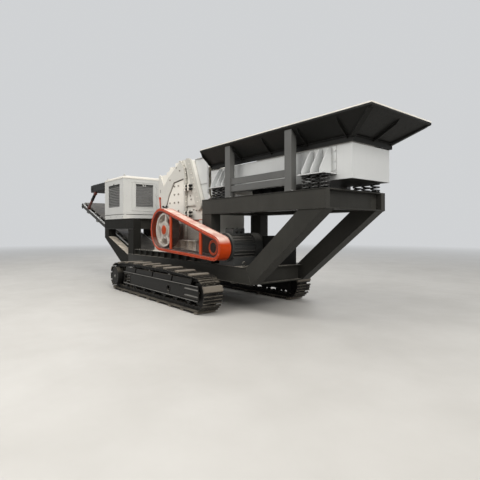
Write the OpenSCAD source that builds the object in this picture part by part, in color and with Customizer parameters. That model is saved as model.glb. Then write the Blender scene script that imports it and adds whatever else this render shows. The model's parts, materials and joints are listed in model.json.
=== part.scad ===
// Crawler crushing plant: tracks, trussed chassis, feeder, belt driven crusher,
// power house and discharge conveyor. Millimetres, X towards the feeder end, Z up.

/* [Chassis] */
// Width over both side frames
frame_w = 1640; // [1500:10:1800]
// Width of each frame beam
beam_w = 240; // [200:5:260]
// Depth of the lower, upper and platform beams
beam_h = 320; // [280:5:340]
// Height of the machine datum above the ground
ride_z = 45; // [0:5:90]
// Height of the underside of the lower beams over the datum
low_z = 560; // [540:5:600]
// Height of the underside of the upper beams over the datum
high_z = 1940; // [1900:5:2000]
// Length of the upper beams
upper_l = 3420; // [3300:10:3500]
// Length of the upper posts along the machine
post_l = 350; // [300:5:400]
// Distance from the rear end of the upper beams to the bottom of the knuckle
knuckle_x = 1757; // [1700:5:1850]
// Depth of the raking struts, square to their length
strut_h = 335; // [300:5:350]
// Distance from the rear end to the rear face of the truss posts
truss_x = 7100; // [7050:10:7150]
// Length of the truss posts along the machine
truss_post_l = 380; // [340:5:400]
// Length of the power house platform
platform_l = 2350; // [2300:10:2400]
// Plate thickness of the I beam flanges and webs
plate_t = 20; // [12:1:30]

/* [Tracks] */
// Distance between the track centre lines
track_gauge = 2550; // [2500:10:2600]
// Width of the shoes
shoe_w = 440; // [400:10:480]
// Number of shoes in each track
shoe_n = 57; // [54:3:60]
// Pitch of the track chain
pitch = 174.5; // [173:0.5:176]
// Number of chain pitches round the drive sprocket
sprocket_n = 10; // [10:1:11]
// Radius of the chain pins round the idler
idler_pin_r = 280; // [265:1:290]
// Distance from the rear end of the frame to the idler centre
idler_x = 2665; // [2600:5:2750]
// Thickness of a shoe plate
shoe_t = 12; // [10:1:16]
// Height of the grousers above the shoe plate
grouser_h = 22; // [15:1:30]
// Height of the road pads above the shoe plate
pad_t = 40; // [35:1:50]
// Length of a road pad along the track
pad_l = 125; // [110:1:140]
// Height of the chain links from pin to shoe
link_out = 48; // [44:1:55]
// Height of the chain links from pin to tread
link_in = 42; // [38:1:46]
// Width over the side plates of a track frame
track_frame_w = 340; // [330:5:350]
// Radius of the final drive drum
drive_r = 240; // [220:1:250]

/* [Feeder and hopper] */
// Width over the feeder pan
pan_w = 1034; // [980:2:1060]
// Height of the feeder pan
pan_h = 545; // [520:5:580]
// Height of the underside of the feeder pan over the datum
pan_z = 2400; // [2390:5:2450]
// Distance that the pan runs behind the upper beams
pan_tail = 267; // [200:1:300]
// Distance that the pan runs in front of the upper beams
pan_head = 91; // [60:1:120]
// Wall thickness of the feeder pan
pan_t = 16; // [10:1:20]
// Height of the spring bracket plates over the datum
bracket_z = 2505; // [2490:1:2530]
// Height of the hopper rim over the datum
rim_z = 3370; // [3340:5:3450]
// Height at which the hopper flares start over the datum
flare_z = 3060; // [3030:5:3090]
// Overhang of each side flare past the pan
side_flare = 320; // [300:5:340]
// Overhang of the rear flare past the pan
rear_flare = 549; // [450:1:600]
// Thickness of the hopper plate
hopper_t = 14; // [10:1:16]
// Height of the upright rim on the flares
rim_h = 45; // [40:1:80]
// Length of the hopper posts along the machine
hopper_post_l = 160; // [140:5:170]

/* [Crusher] */
// Distance from the front end of the upper beams to the rotor axis
rotor_off = 1196; // [1180:1:1210]
// Height of the rotor axis over the datum
rotor_z = 1600; // [1590:1:1610]
// Radius over the blow bars
rotor_r = 480; // [440:1:490]
// Width over the crusher side plates
crusher_w = 1240; // [1200:10:1260]
// Thickness of the crusher walls
crusher_t = 40; // [30:1:50]
// Height of the crusher rails above the lower beams
rail_h = 150; // [120:5:170]
// Height of the top of the crusher over the datum
crusher_top = 3325; // [3300:5:3350]
// Radius of the rotor shaft
shaft_r = 70; // [60:1:80]

/* [Belt drive] */
// Radius of the crusher pulley
pulley_r = 405; // [380:1:415]
// Radius of the motor pulley
motor_pulley_r = 158; // [140:1:165]
// Width of the pulleys
pulley_w = 190; // [160:1:195]
// Distance from the upper posts back to the motor axis
motor_off = 518; // [500:1:540]
// Height of the motor axis over the datum
motor_z = 1250; // [1240:1:1260]
// Radius of the motor frame
motor_r = 290; // [270:1:300]
// Depth of the belt guard
guard_d = 267; // [250:1:280]
// Distance from the side frame out to the face of the belt guard
guard_off = 346; // [340:1:360]
// Width of the border on the guard face
guard_border = 75; // [60:1:90]

/* [Power house] */
// Length of the power house
house_l = 1570; // [1500:10:1570]
// Height of the power house wall
house_h = 1110; // [1050:10:1200]
// Height of the power house skid
skid_h = 150; // [130:5:170]
// Wall thickness of the power house
house_t = 30; // [20:1:40]
// Width of the end door
door_w = 860; // [800:10:900]
// Height of the end door
door_h = 900; // [850:10:950]

/* [Conveyor] */
// Slope of the discharge conveyor in degrees
conveyor_a = 18.3; // [17.5:0.1:19]
// Height of the top of the level stringers over the datum
stringer_z = 700; // [690:5:720]
// Depth of the conveyor stringers
stringer_h = 120; // [100:5:120]
// Gap between the conveyor stringers and the lower beams
conveyor_gap = 63; // [55:1:80]
// Distance from the rear end of the frame to the tail end of the stringers
tail_x = 2150; // [2100:10:2200]
// Distance from the rear end of the frame to the bend of the conveyor
bend_x = 7011; // [6990:1:7050]
// Distance from the rear end of the frame to the head drum
head_x = 12950; // [12800:10:13100]
// Distance from the edge of the belt to the outside of the stringers
belt_side = 117; // [107:1:137]
// Radius of the conveyor drums
drum_r = 110; // [100:1:115]

/* [Hidden] */
$fn = 48;

near = -1;
far = 1;
half_w = frame_w / 2;
in_y = half_w - beam_w;
low_top = low_z + beam_h;
high_top = high_z + beam_h;
gap = 0.3;
rotor_x = upper_l + rotor_off;
motor_x = upper_l - post_l - motor_off;
pan_lip = upper_l + pan_head;
guard_y = half_w + guard_off;
conveyor_w = 2 * (in_y - conveyor_gap);
belt_w = conveyor_w - 2 * belt_side;

// Overall length, from the conveyor nose to the hopper rim
belt_t = 14;
nose_x = -head_x - drum_r - gap - belt_t;
rim_x = pan_tail + rear_flare;
shift_x = -(nose_x + rim_x) / 2;

// Raking strut, worked out from its two lower and upper corners
strut_dx = knuckle_x - 20;
strut_a = atan2(high_z - low_z, strut_dx);
strut_low_x = -knuckle_x - strut_h * sin(strut_a);
strut_low_z = low_z + strut_h * cos(strut_a);
mitre_x = strut_low_x + (low_top - strut_low_z) / tan(strut_a);
strut_top_x = strut_low_x + (high_z - strut_low_z) / tan(strut_a);

// Extrudes an outline drawn in X and Z from y0 to y1
module along_y(y0, y1) {
    translate([0, y1, 0]) rotate([90, 0, 0]) linear_extrude(y1 - y0) children();
}

// Extrudes an outline drawn in Y and Z from x0 to x1
module along_x(x0, x1) {
    translate([x0, 0, 0]) rotate([90, 0, 90]) linear_extrude(x1 - x0) children();
}

// A box from one corner to the other
module block(x0, x1, y0, y1, z0, z1) {
    translate([x0, y0, z0]) cube([x1 - x0, y1 - y0, z1 - z0]);
}

// A round bar along Y
module bar_y(x, z, r, y0, y1) {
    translate([x, y1, z]) rotate([90, 0, 0]) cylinder(r = r, h = y1 - y0);
}

// Moves a part from the rear end of the frame to the middle of the machine
module place() {
    translate([shift_x, 0, ride_z]) children();
}

// The same for the tracks, which stand on the ground
module place_track() {
    translate([shift_x, 0, 0]) children();
}

module both_sides() {
    children();
    mirror([0, 1, 0]) children();
}

// The outline of a belt round two circles, in steps of a few degrees
function belt_outline(x1, z1, r1, x2, z2, r2, n = 20) =
    let (d = norm([x2 - x1, z2 - z1]), a = atan2(z2 - z1, x2 - x1), b = acos((r1 - r2) / d))
    concat(
        [for (i = [0:n]) let (t = a + b + (360 - 2 * b) * i / n) [x1 + r1 * cos(t), z1 + r1 * sin(t)]],
        [for (i = [0:n]) let (t = a - b + 2 * b * i / n) [x2 + r2 * cos(t), z2 + r2 * sin(t)]]);

module lower_beams() {
    color("#3b3b37") place() both_sides() along_y(-half_w, -in_y) polygon([
        [-truss_x - truss_post_l, low_z], [-knuckle_x, low_z],
        [mitre_x, low_top], [-truss_x - truss_post_l, low_top]]);
}

module struts() {
    color("#3b3b37") place() both_sides() along_y(-half_w, -in_y) polygon([
        [-knuckle_x, low_z], [-knuckle_x + strut_dx, high_z],
        [strut_top_x, high_z], [mitre_x, low_top]]);
}

module upper_beams() {
    pocket = 110;
    wall = 105;
    color("#45453f") place() both_sides() difference() {
        block(-upper_l, 0, -half_w, -in_y, high_z, high_top);
        block(-pocket, 1, -half_w + wall, -in_y + 1, high_z + plate_t, high_top - plate_t);
    }
}

module upper_posts() {
    color("#3b3b37") place() both_sides() block(-upper_l, -upper_l + post_l, -half_w, -in_y, low_top, high_z);
}

platform_x = truss_x + platform_l;
truss_end_l = 350;
truss_end_z = 1340;
truss_toe_x = 7970;

module truss_diagonals() {
    color("#3b3b37") place() both_sides() along_y(-half_w, -in_y) polygon([
        [-platform_x, high_z - beam_h], [-platform_x, truss_end_z], [-truss_toe_x, low_z],
        [-truss_x - truss_post_l, low_z], [-truss_x - truss_post_l, low_top - 35],
        [-platform_x + truss_end_l, truss_end_z + 35], [-platform_x + truss_end_l, high_z - beam_h]]);
}

module truss_posts() {
    back = -truss_x - truss_post_l;
    under = high_z - beam_h;
    color("#3b3b37") place() both_sides() {
        block(back, -truss_x, -half_w, -in_y, low_top, under);
        along_y(-half_w + 90, -half_w + 110) polygon([[back, under], [back - 130, under], [back,
            under - 130]]);
    }
}

module platform_beams() {
    color("#3b3b37") place() both_sides() block(-platform_x, -truss_x, -half_w, -in_y, high_z - beam_h,
        high_z);
}

// An I beam across the machine, between the side frames
module i_beam(x0, x1, z0, z1) {
    middle = (x0 + x1) / 2;
    block(x0, x1, -in_y, in_y, z0, z0 + plate_t);
    block(x0, x1, -in_y, in_y, z1 - plate_t, z1);
    block(middle - plate_t / 2, middle + plate_t / 2, -in_y, in_y, z0 + plate_t, z1 - plate_t);
}

module cross_beams() {
    color("#33332f") place() {
        i_beam(-beam_w, 0, high_z, high_top);
        i_beam(-upper_l, -upper_l + beam_w, high_z, high_top);
        i_beam(-knuckle_x - beam_w, -knuckle_x, low_z, low_top);
        i_beam(-platform_x, -platform_x + beam_w, high_z - 140, high_z);
        i_beam(-truss_x - beam_w, -truss_x, high_z - beam_h, high_z);
        for (x = [-motor_x - 328, -motor_x + 242])
            i_beam(x, x + 100, low_top - 75, low_top);
    }
}

rail_w = 180;
rail_top = low_top + rail_h;

// Rails under the crusher: a flange on a web with ribs
module crusher_rails() {
    x0 = -truss_x;
    x1 = -upper_l;
    mid = -half_w + beam_w / 2;
    ribs = 10;
    color("#4a4a45") place() both_sides() {
        block(x0, x1, mid - rail_w / 2, mid + rail_w / 2, rail_top - plate_t, rail_top);
        block(x0, x1, mid - plate_t / 2, mid + plate_t / 2, low_top, rail_top - plate_t);
        for (i = [0:ribs])
            let (x = x0 + (x1 - x0 - plate_t) * i / ribs)
                block(x, x + plate_t, mid - rail_w / 2, mid + rail_w / 2, low_top, rail_top - plate_t);
    }
}

track_in_y = track_gauge / 2 - track_frame_w / 2;
carbody_l = 320;
carbody_xs = [-idler_x - 3085, -idler_x - 1285];

module carbody_beams() {
    color("#33332f") place() for (x = carbody_xs)
        difference() {
            block(x - carbody_l / 2, x + carbody_l / 2, -track_in_y, track_in_y, 330, low_z);
            block(x - carbody_l, x + carbody_l, -in_y, in_y, 500, low_z + 1);
        }
}

// Track chain path: pins run round the sprocket, the idler and the carrier rollers
pad_off = link_out + shoe_t + pad_t;
sprocket_r = sprocket_n * pitch / (2 * PI);
wheelbase = (shoe_n * pitch - PI * (sprocket_r + idler_pin_r)) / 2 - 4;
sprocket_x = idler_x + wheelbase;
carrier_r = 60;
carrier_top = pad_off + 2 * sprocket_r + 70;
carrier_slack = 3;
carrier_path_r = carrier_r + link_in + carrier_slack;
carrier_z = carrier_top - carrier_path_r;
carrier_xs = [-idler_x - 1215, -idler_x - 2185, -idler_x - 3185];

wheels = [[-sprocket_x, pad_off + sprocket_r, sprocket_r], [-idler_x, pad_off + idler_pin_r, idler_pin_r],
    [carrier_xs[0], carrier_z, carrier_path_r], [carrier_xs[1], carrier_z, carrier_path_r],
    [carrier_xs[2], carrier_z, carrier_path_r]];

// Angle of the outward normal of the tangent from wheel a to wheel b
function tangent(a, b) =
    let (dx = b[0] - a[0], dz = b[1] - a[1], d = norm([dx, dz]), t = atan2(dz, dx) - acos((a[2] - b[2]) / d))
    t < -90.01 ? t + 360 : t;
function wheel_arc(w, a0, a1, n) =
    [for (i = [0:n]) let (t = a0 + (a1 - a0) * i / n) [w[0] + w[2] * cos(t), w[1] + w[2] * sin(t)]];
t1 = tangent(wheels[1], wheels[2]);
t2 = tangent(wheels[2], wheels[3]);
t3 = tangent(wheels[3], wheels[4]);
t4 = tangent(wheels[4], wheels[0]);
path = concat(wheel_arc(wheels[0], 180, 270, 30), wheel_arc(wheels[1], -90, t1, 60),
    wheel_arc(wheels[2], t1, t2, 2), wheel_arc(wheels[3], t2, t3, 2), wheel_arc(wheels[4], t3, t4, 2),
    wheel_arc(wheels[0], t4, 180, 30));
run = [for (i = 0, s = 0; i < len(path); s = s + (i < len(path) - 1 ? norm(path[i + 1] - path[i]) : 0),
    i = i + 1)
    [s, path[i][0], path[i][1]]];
path_l = run[len(run) - 1][0];
run_x = [for (p = run) [p[0], p[1]]];
run_z = [for (p = run) [p[0], p[2]]];
phase = 0.6;
pins = [for (i = [0:shoe_n - 1]) let (s = path_l * (i + phase) / shoe_n) [lookup(s, run_x), lookup(s,
    run_z)]];

function pin(i) = pins[(i + shoe_n) % shoe_n];
function chord_n(i) = let (d = pin(i + 1) - pin(i)) [d[1], -d[0]] / norm(d);
function mitred(i, off) =
    let (m0 = chord_n(i - 1) + chord_n(i), m = m0 / norm(m0)) pin(i) + m * off / (m * chord_n(i));
function on_chord(i, t, off) = pin(i) + (pin(i + 1) - pin(i)) * t + chord_n(i) * off;

link_y = [62, 107];
bushing_r = 24;

// One track chain: two rails of links joined by a bushing at each pin
module track_chain(side) {
    outer = [for (i = [0:shoe_n - 1]) mitred(i, link_out)];
    inner = [for (i = [0:shoe_n - 1], p = [[0.22, -link_in], [0.34, -link_in + 16], [0.66, -link_in + 16],
        [0.78, -link_in]]) on_chord(i, p[0], p[1])];
    color("#23231f") place_track() translate([0, side * track_gauge / 2, 0]) {
        both_sides() along_y(link_y[0], link_y[1]) difference() {
            polygon(outer);
            polygon(inner);
        }
        for (i = [0:shoe_n - 1])
            bar_y(pin(i)[0], pin(i)[1], bushing_r, -link_y[0] - 5, link_y[0] + 5);
    }
}

// Places a child drawn with X along the chain and Y outwards on chord i
module on_shoe(i) {
    d = pin(i + 1) - pin(i);
    m = (pin(i + 1) + pin(i)) / 2;
    translate([m[0], m[1]]) rotate(atan2(d[1], d[0])) mirror([0, 1]) children();
}

shoe_l = pitch - 7;
pad_k = 1;
grouser_t = 9;

// Triple grouser shoe in section
module shoe_outline() {
    top = link_out + shoe_t;
    step = shoe_l / 2 - grouser_t - 6;
    polygon(concat([[-shoe_l / 2, link_out + gap], [shoe_l / 2, link_out + gap], [shoe_l / 2, top]],
        [for (k = [1, 0, -1], p = [[grouser_t, 0], [grouser_t / 2, grouser_h], [-grouser_t / 2, grouser_h],
            [-grouser_t, 0]]) [k * step + p[0], top + p[1]]],
        [[-shoe_l / 2, top]]));
}

module track_shoes(side) {
    y = side * track_gauge / 2;
    color("#2e2d29") place_track() for (i = [0:shoe_n - 1])
        along_y(y - shoe_w / 2, y + shoe_w / 2) on_shoe(i) {
            if (i % 3 == pad_k)
                translate([-shoe_l / 2, link_out + gap]) square([shoe_l, shoe_t - gap]);
            else
                shoe_outline();
        }
}

module road_pads(side) {
    y = side * track_gauge / 2;
    top = link_out + shoe_t;
    bevel = 12;
    color("#a89c82") place_track() for (i = [pad_k:3:shoe_n - 1])
        along_y(y - shoe_w / 2 + 2, y + shoe_w / 2 - 2) on_shoe(i)
            polygon([[-pad_l / 2, top], [pad_l / 2, top], [pad_l / 2, top + pad_t - bevel],
                [pad_l / 2 - bevel, top + pad_t], [-pad_l / 2 + bevel, top + pad_t],
                [-pad_l / 2, top + pad_t - bevel]]);
}

sprocket_z = pad_off + sprocket_r;
idler_z = pad_off + idler_pin_r;
frame_low = 235;
frame_top = 540;
side_t = 12;
frame_x0 = -sprocket_x + 506;
frame_x1 = -idler_x + 70;
box_x1 = -idler_x - 290;

// The toothed rim seen along the axle, with a valley on each chain bushing
module sprocket_outline() {
    step = 360 / sprocket_n;
    root = sprocket_r - bushing_r - 2;
    tip = sprocket_r + 18;
    polygon([for (k = [0:sprocket_n - 1], p = [[root, 0.13], [sprocket_r, 0.21], [tip, 0.36], [tip, 0.64],
        [sprocket_r, 0.79], [root, 0.87]])
        let (a = 180 + (k + phase + p[1]) * step) [p[0] * cos(a), p[0] * sin(a)]]);
}

module drive_sprockets() {
    y = -track_gauge / 2;
    color("#2a2a27") place_track() both_sides() {
        translate([-sprocket_x, y, sprocket_z]) along_y(-50, 50) sprocket_outline();
        bar_y(-sprocket_x, sprocket_z, drive_r, y - shoe_w / 2 - 5, y - link_y[1] - 8);
        bar_y(-sprocket_x, sprocket_z, 205, y - link_y[1] - 8, y - 50);
        bar_y(-sprocket_x, sprocket_z, 150, y + 50, y + track_frame_w / 2 - side_t - 28);
    }
}

module idlers() {
    y = -track_gauge / 2;
    tread = sqrt(idler_pin_r * idler_pin_r - pitch * pitch / 4) - link_in - gap;
    color("#2a2a27") place_track() both_sides() {
        bar_y(-idler_x, idler_z, idler_pin_r - bushing_r - 3, y - 52, y + 52);
        bar_y(-idler_x, idler_z, tread, y - link_y[1], y + link_y[1]);
        bar_y(-idler_x, idler_z, 45, y - track_frame_w / 2 + side_t, y + track_frame_w / 2 - side_t);
    }
}

roller_r = 85;
roller_z = pad_off + link_in + roller_r + gap;
roller_n = 7;
roller_pin = 5;

module track_rollers() {
    y = -track_gauge / 2;
    color("#2a2a27") place_track() both_sides() {
        for (i = [0:roller_n - 1])
            let (x = pin(roller_pin + 3 * i)[0]) {
                bar_y(x, roller_z, roller_r, y - link_y[1], y - link_y[0]);
                bar_y(x, roller_z, roller_r, y + link_y[0], y + link_y[1]);
                bar_y(x, roller_z, 32, y - track_frame_w / 2 + side_t, y + track_frame_w / 2 - side_t);
            }
        for (x = carrier_xs) {
            bar_y(x, carrier_z, carrier_r, y - link_y[1], y + link_y[1]);
            bar_y(x, carrier_z, 25, y + link_y[1], y + track_frame_w / 2 - side_t);
        }
    }
}

slot_l = 520;
slot_h = 22;

mud_xs = [[frame_x0 + 60, carrier_xs[2] + 250], [carrier_xs[2] + 305, carrier_xs[1] + 200],
    [carrier_xs[1] + 255, carrier_xs[0] + 155], [carrier_xs[0] + 210, -idler_x - 240]];

// One track frame: an inverted channel with lipped side plates, stands and mud plates
module track_frame(side) {
    y = side * track_gauge / 2;
    hw = track_frame_w / 2;
    lip = 22;
    lip_h = 16;
    color("#33322d") place_track() translate([0, y, 0]) {
        difference() {
            for (s = [-1, 1])
                translate([0, s * (hw - side_t / 2) - side_t / 2, 0])
                    block(frame_x0, frame_x1, 0, side_t, frame_low, frame_top);
            for (z = [455, 322])
                translate([0, side * hw, 0])
                    block(frame_x1 - 25 - slot_l, frame_x1 - 25, -40, 40, z, z + slot_h);
            bar_y(frame_x1 - 1205, 380, 60, -hw - 20, hw + 20);
            translate([0, side * hw, 0]) block(frame_x0 + 30, frame_x0 + 395, -40, 40, 258, 480);
        }
        for (z = [frame_low, frame_top - lip_h])
            translate([0, side * (hw + lip / 2) - lip / 2, 0])
                block(frame_x0, frame_x1, 0, lip, z, z + lip_h);
        block(frame_x0, box_x1, -hw + side_t, hw - side_t, frame_top - side_t, frame_top);
        block(frame_x0, box_x1, -hw + side_t, hw - side_t, 350, 350 + side_t);
        // Leaning mud plates under the top run
        for (p = mud_xs)
            along_y(side * 143 - 20, side * 143 + 20) polygon([[p[0], frame_top], [p[1], frame_top],
                [p[1] + 60, frame_top + 125], [p[0] + 60, frame_top + 125]]);
        // Carrier roller stands on the inner side
        for (x = carrier_xs)
            block(x - 60, x + 60, -side * (hw - side_t / 2) - side_t / 2,
                -side * (hw - side_t / 2) + side_t / 2,
                frame_top, carrier_z + 45);
        // Plate that carries the drive motor, on the inner side
        translate([0, -side * (hw - 20), 0])
            block(-sprocket_x - 200, frame_x0, -20, 20, sprocket_z - 150, sprocket_z + 90);
    }
}

module track_frame_near() { track_frame(near); }
module track_frame_far() { track_frame(far); }
module track_chain_near() { track_chain(near); }
module track_chain_far() { track_chain(far); }
module track_shoes_near() { track_shoes(near); }
module track_shoes_far() { track_shoes(far); }
module road_pads_near() { road_pads(near); }
module road_pads_far() { road_pads(far); }

// Crusher: base, hinged rear half and inlet half, split beside the shaft
split_x = -rotor_x + 191;
base_x0 = -rotor_x - 1284;
base_x1 = -rotor_x + 896;
base_top = rotor_z - 240;
wall_y = crusher_w / 2;
slant_z0 = 2150;
slant_z1 = crusher_top - 60;
slant_x0 = -rotor_x + 926;
slant_x1 = -rotor_x + 451;
slant_w = 200;
hood_x = -rotor_x - 1214;
cheek_low = slant_z0 - 50;

// A point by its distance from the rotor axis along the machine and its depth under the crusher's top
function at(dx, dz) = [-rotor_x + dx, crusher_top - dz];

split_pts = [[split_x, base_top], [split_x, crusher_top - 505], [split_x - 10, crusher_top - 385],
    [split_x - 64, crusher_top - 216], [split_x - 255, crusher_top - 14]];
rear_pts = [[hood_x, base_top], at(-1214, 315), at(-1141, 270), at(-824, 275), at(-796, 219), at(-437, 151),
    at(-249, 97), [split_x - 300, crusher_top - 22]];
foot_t = 25;
bearing_y = 170;
bearing_r = 150;
flange_d = 60;
flange_w = 36;

function slant_x(z) = slant_x0 + (slant_x1 - slant_x0) * (z - slant_z0) / (slant_z1 - slant_z0);
function split_from(z, dx) = concat([[split_x + dx, z]],
    [for (i = [1:len(split_pts) - 1]) split_pts[i] + [dx, 0]]);
function reversed(p) = [for (i = [len(p) - 1:-1:0]) p[i]];

module crusher_base() {
    color("#cfcabf") place() difference() {
        union() {
            block(base_x0, base_x1, -wall_y, wall_y, rail_top + foot_t, base_top - plate_t);
            both_sides() {
                block(base_x0, base_x1, -wall_y - bearing_y, -wall_y + crusher_t, rail_top,
                    rail_top + foot_t);
                block(base_x0, base_x1, -wall_y - bearing_y - 10, -wall_y + crusher_t,
                    base_top - plate_t, base_top);
                for (x = [base_x0 + 60 : 340 : base_x1])
                    block(x, x + 20, -wall_y - bearing_y + 30, -wall_y, rail_top + foot_t,
                        base_top - plate_t);
            }
        }
        block(base_x0 + crusher_t, base_x1 - crusher_t, -wall_y + crusher_t, wall_y - crusher_t,
            rail_top - 1, base_top + 1);
    }
}

// Rear half: hood with steps, notched cheek plates and the flange along the split
module rear_housing() {
    cheek = 30;
    inside = wall_y - crusher_t;
    split = reversed(split_pts);
    inner_x = hood_x + crusher_t;
    color("#e6e1d3") place() difference() {
        union() {
            along_y(-wall_y, wall_y) polygon(concat(rear_pts, split));
            both_sides() {
                along_y(-wall_y - cheek, -wall_y) polygon([[hood_x, cheek_low], at(-1214, 315), at(-1141,
                    246),
                    at(-911, 578), at(-663, 377), at(-144, 70), [split_x - 255, crusher_top - 14],
                    [split_x - 64, crusher_top - 216], [split_x - 10, crusher_top - 385],
                    [split_x - 6, crusher_top - 445], at(-7, 474), at(-399, 520), at(-663, 836),
                    [-rotor_x - 864, cheek_low]]);
                along_y(-wall_y - flange_d, -wall_y)
                    polygon(concat(split_from(base_top, -flange_w), reversed(split_from(base_top, 0))));
            }
            for (p = [at(-714, 85), at(-394, 5)])
                block(p[0] - 90, p[0] + 90, -wall_y + 80, wall_y - 80, crusher_top - 255, p[1]);
        }
        along_y(-inside, inside) polygon([[inner_x, base_top - 1], [inner_x, crusher_top - 345], at(-844,
            320),
            at(-444, 200), at(-249, 145), [split_x - 300, crusher_top - 70], [split_x - 150,
                crusher_top - 90],
            [split_x - 20, crusher_top - 235], [split_x + 1, crusher_top - 385], [split_x + 1,
                base_top - 1]]);
        both_sides() along_y(-wall_y - cheek - 1, -inside + 1)
            polygon([at(-924, 550), at(-904, 560), at(-679, 373), at(-702, 347)]);
        bar_y(-rotor_x, rotor_z, shaft_r + 15, -wall_y - 100, wall_y + 100);
        bar_y(-rotor_x - 254, crusher_top - 165, 26, -wall_y - 100, wall_y + 100);
    }
}

// Inlet half: split flange, the slanted flange of the feed opening and a stiffener
module inlet_housing() {
    slant = [slant_x0 - slant_x1, slant_z0 - slant_z1] / norm([slant_x0 - slant_x1, slant_z0 - slant_z1]);
    in_n = [slant[1], -slant[0]];
    low = [slant_x0, slant_z0];
    high = [slant_x1, slant_z1];
    inside = wall_y - crusher_t;
    color("#e6e1d3") place() difference() {
        union() {
            along_y(-wall_y, wall_y) polygon(concat(split_from(base_top, gap), [[split_x - 130, crusher_top],
                [split_x + 120, crusher_top - 20], high, low, [base_x1, slant_z0 - 90], [base_x1,
                    base_top]]));
            both_sides() {
                along_y(-wall_y - flange_d, -wall_y)
                    polygon(concat(split_from(base_top, gap), reversed(split_from(base_top, flange_w))));
                along_y(-wall_y - flange_d, -wall_y) polygon([low, high, high + [-60, 48], high + [-160, 56],
                    high + [-225, 20], low + in_n * slant_w + slant * 20, low + in_n * 60 + slant * 60]);
                block(split_x + flange_w, slant_x0 - 130, -wall_y - 45, -wall_y, slant_z0 + 22,
                    slant_z0 + 44);
                block(split_x + flange_w, base_x1, -wall_y - 30, -wall_y, base_top, base_top + 22);
            }
        }
        along_y(-inside, inside) polygon([[split_x - 1, base_top - 1],
            [base_x1 - crusher_t, base_top - 1], [base_x1 - crusher_t, slant_z0 - 60],
            [slant_x1 - crusher_t, slant_z1 - crusher_t], [split_x + 110, crusher_top - 60],
            [split_x - 120, crusher_top - 40], [split_x - 230, crusher_top - 60], [split_x - 75,
                crusher_top - 235],
            [split_x - 20, crusher_top - 385], [split_x - 1, crusher_top - 505]]);
        block(-rotor_x + 216, slant_x0 + 90, -pan_w / 2, pan_w / 2, pan_z - 70, crusher_top - 185);
    }
}

chute_x1 = -pan_lip - 4;
chute_t = 14;
chute_top = crusher_top - 35;
chute_seam = pan_z + 272;
chute_low = pan_z - 140;
chute_side = pan_w / 2 + 8;

// Where the chute meets the crusher's slanted flange
function on_slant(z) = [slant_x(z) + gap, z];

// Chute between the feeder and the crusher, with a lip and a seam on each side plate
module feed_chute() {
    out_y = -chute_side - chute_t;
    edge_x = chute_x1 - 75;
    edge_top = crusher_top - 200;
    color("#c3c6c6") place() {
        both_sides() {
            along_y(out_y, -chute_side) polygon([on_slant(chute_low), on_slant(chute_top - 40),
                [slant_x(chute_top - 40) + 12, chute_top], [edge_x - 150, chute_top], [edge_x, edge_top],
                [edge_x, pan_z + 30], [chute_x1, pan_z - 40], [chute_x1, pan_z - 70]]);
            block(slant_x(chute_top - 50) + 12, edge_x - 150, out_y - 24, out_y, chute_top - 10, chute_top);
            block(edge_x - 12, edge_x, out_y - 24, out_y, pan_z + 40, edge_top);
            block(slant_x(chute_seam) + 12, edge_x - 12, out_y - 16, out_y, chute_seam, chute_seam + 10);
        }
        along_y(-chute_side, chute_side) polygon([on_slant(chute_low + 10), [chute_x1, pan_z - 55],
            [chute_x1, pan_z - 70], on_slant(chute_low - 4)]);
    }
}

// Paired clamping bars across the split on each side
module housing_ties() {
    bar_r = 20;
    tie_h = 150;
    tie_t = 55;
    zs = [rotor_z + 375, crusher_top - 715];
    lean = atan2(slant_x0 - slant_x1, slant_z1 - slant_z0);
    y = -wall_y - flange_d - bar_r - gap;
    x0 = split_x + 50;
    x1 = slant_x(zs[1] + tie_h / 2) - slant_w / cos(lean) - 10;
    color("#d8d2c2") place() both_sides() for (z = zs) {
        for (k = [-1, 1])
            translate([x0, y, z + k * 42]) rotate([0, 90, 0]) cylinder(r = bar_r, h = x1 + 100 - x0);
        for (x = [x0 + 20, x1 - tie_t])
            block(x, x + tie_t, y - 34, -wall_y, z - tie_h / 2, z + tie_h / 2);
    }
}

module rotor_bearings() {
    color("#3a3a38") place() both_sides() difference() {
        union() {
            bar_y(-rotor_x, rotor_z, bearing_r, -wall_y - bearing_y, -wall_y - gap);
            block(-rotor_x - bearing_r, -rotor_x + bearing_r, -wall_y - bearing_y + 10, -wall_y - gap,
                base_top, rotor_z - 60);
        }
        bar_y(-rotor_x, rotor_z, shaft_r + 2 * gap, -wall_y - bearing_y - 1, -wall_y + 1);
    }
}

pulley_y0 = -guard_y + 36;

module rotor_shaft() {
    color("#8a8a86") place() bar_y(-rotor_x, rotor_z, shaft_r, pulley_y0 - 6, wall_y + bearing_y + 20);
}

module rotor() {
    color("#55524c") place() translate([-rotor_x, 0, rotor_z]) along_y(-wall_y + crusher_t + 30,
        wall_y - crusher_t - 30)
        difference() {
            union() {
                circle(r = 330);
                for (a = [20:90:360])
                    rotate(a) translate([250, -60]) square([rotor_r - 250, 90]);
            }
            circle(r = shaft_r);
        }
}

module rotor_pulley() {
    rim_t = 45;
    hub_r = 130;
    spokes = 5;
    color("#e2dccb") place() translate([-rotor_x, 0, rotor_z]) {
        along_y(pulley_y0, pulley_y0 + pulley_w) difference() {
            circle(r = pulley_r);
            circle(r = pulley_r - rim_t);
        }
        along_y(pulley_y0, pulley_y0 + pulley_w) difference() {
            circle(r = hub_r);
            circle(r = shaft_r);
        }
        along_y(pulley_y0 + 30, pulley_y0 + 80)
            for (i = [0:spokes - 1])
                rotate(i * 360 / spokes + 12) translate([hub_r - 8,
                    -38]) square([pulley_r - rim_t - hub_r + 16, 76]);
    }
}

belt_h = 15;
belt_n = 5;
arc_n = 40;

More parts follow.
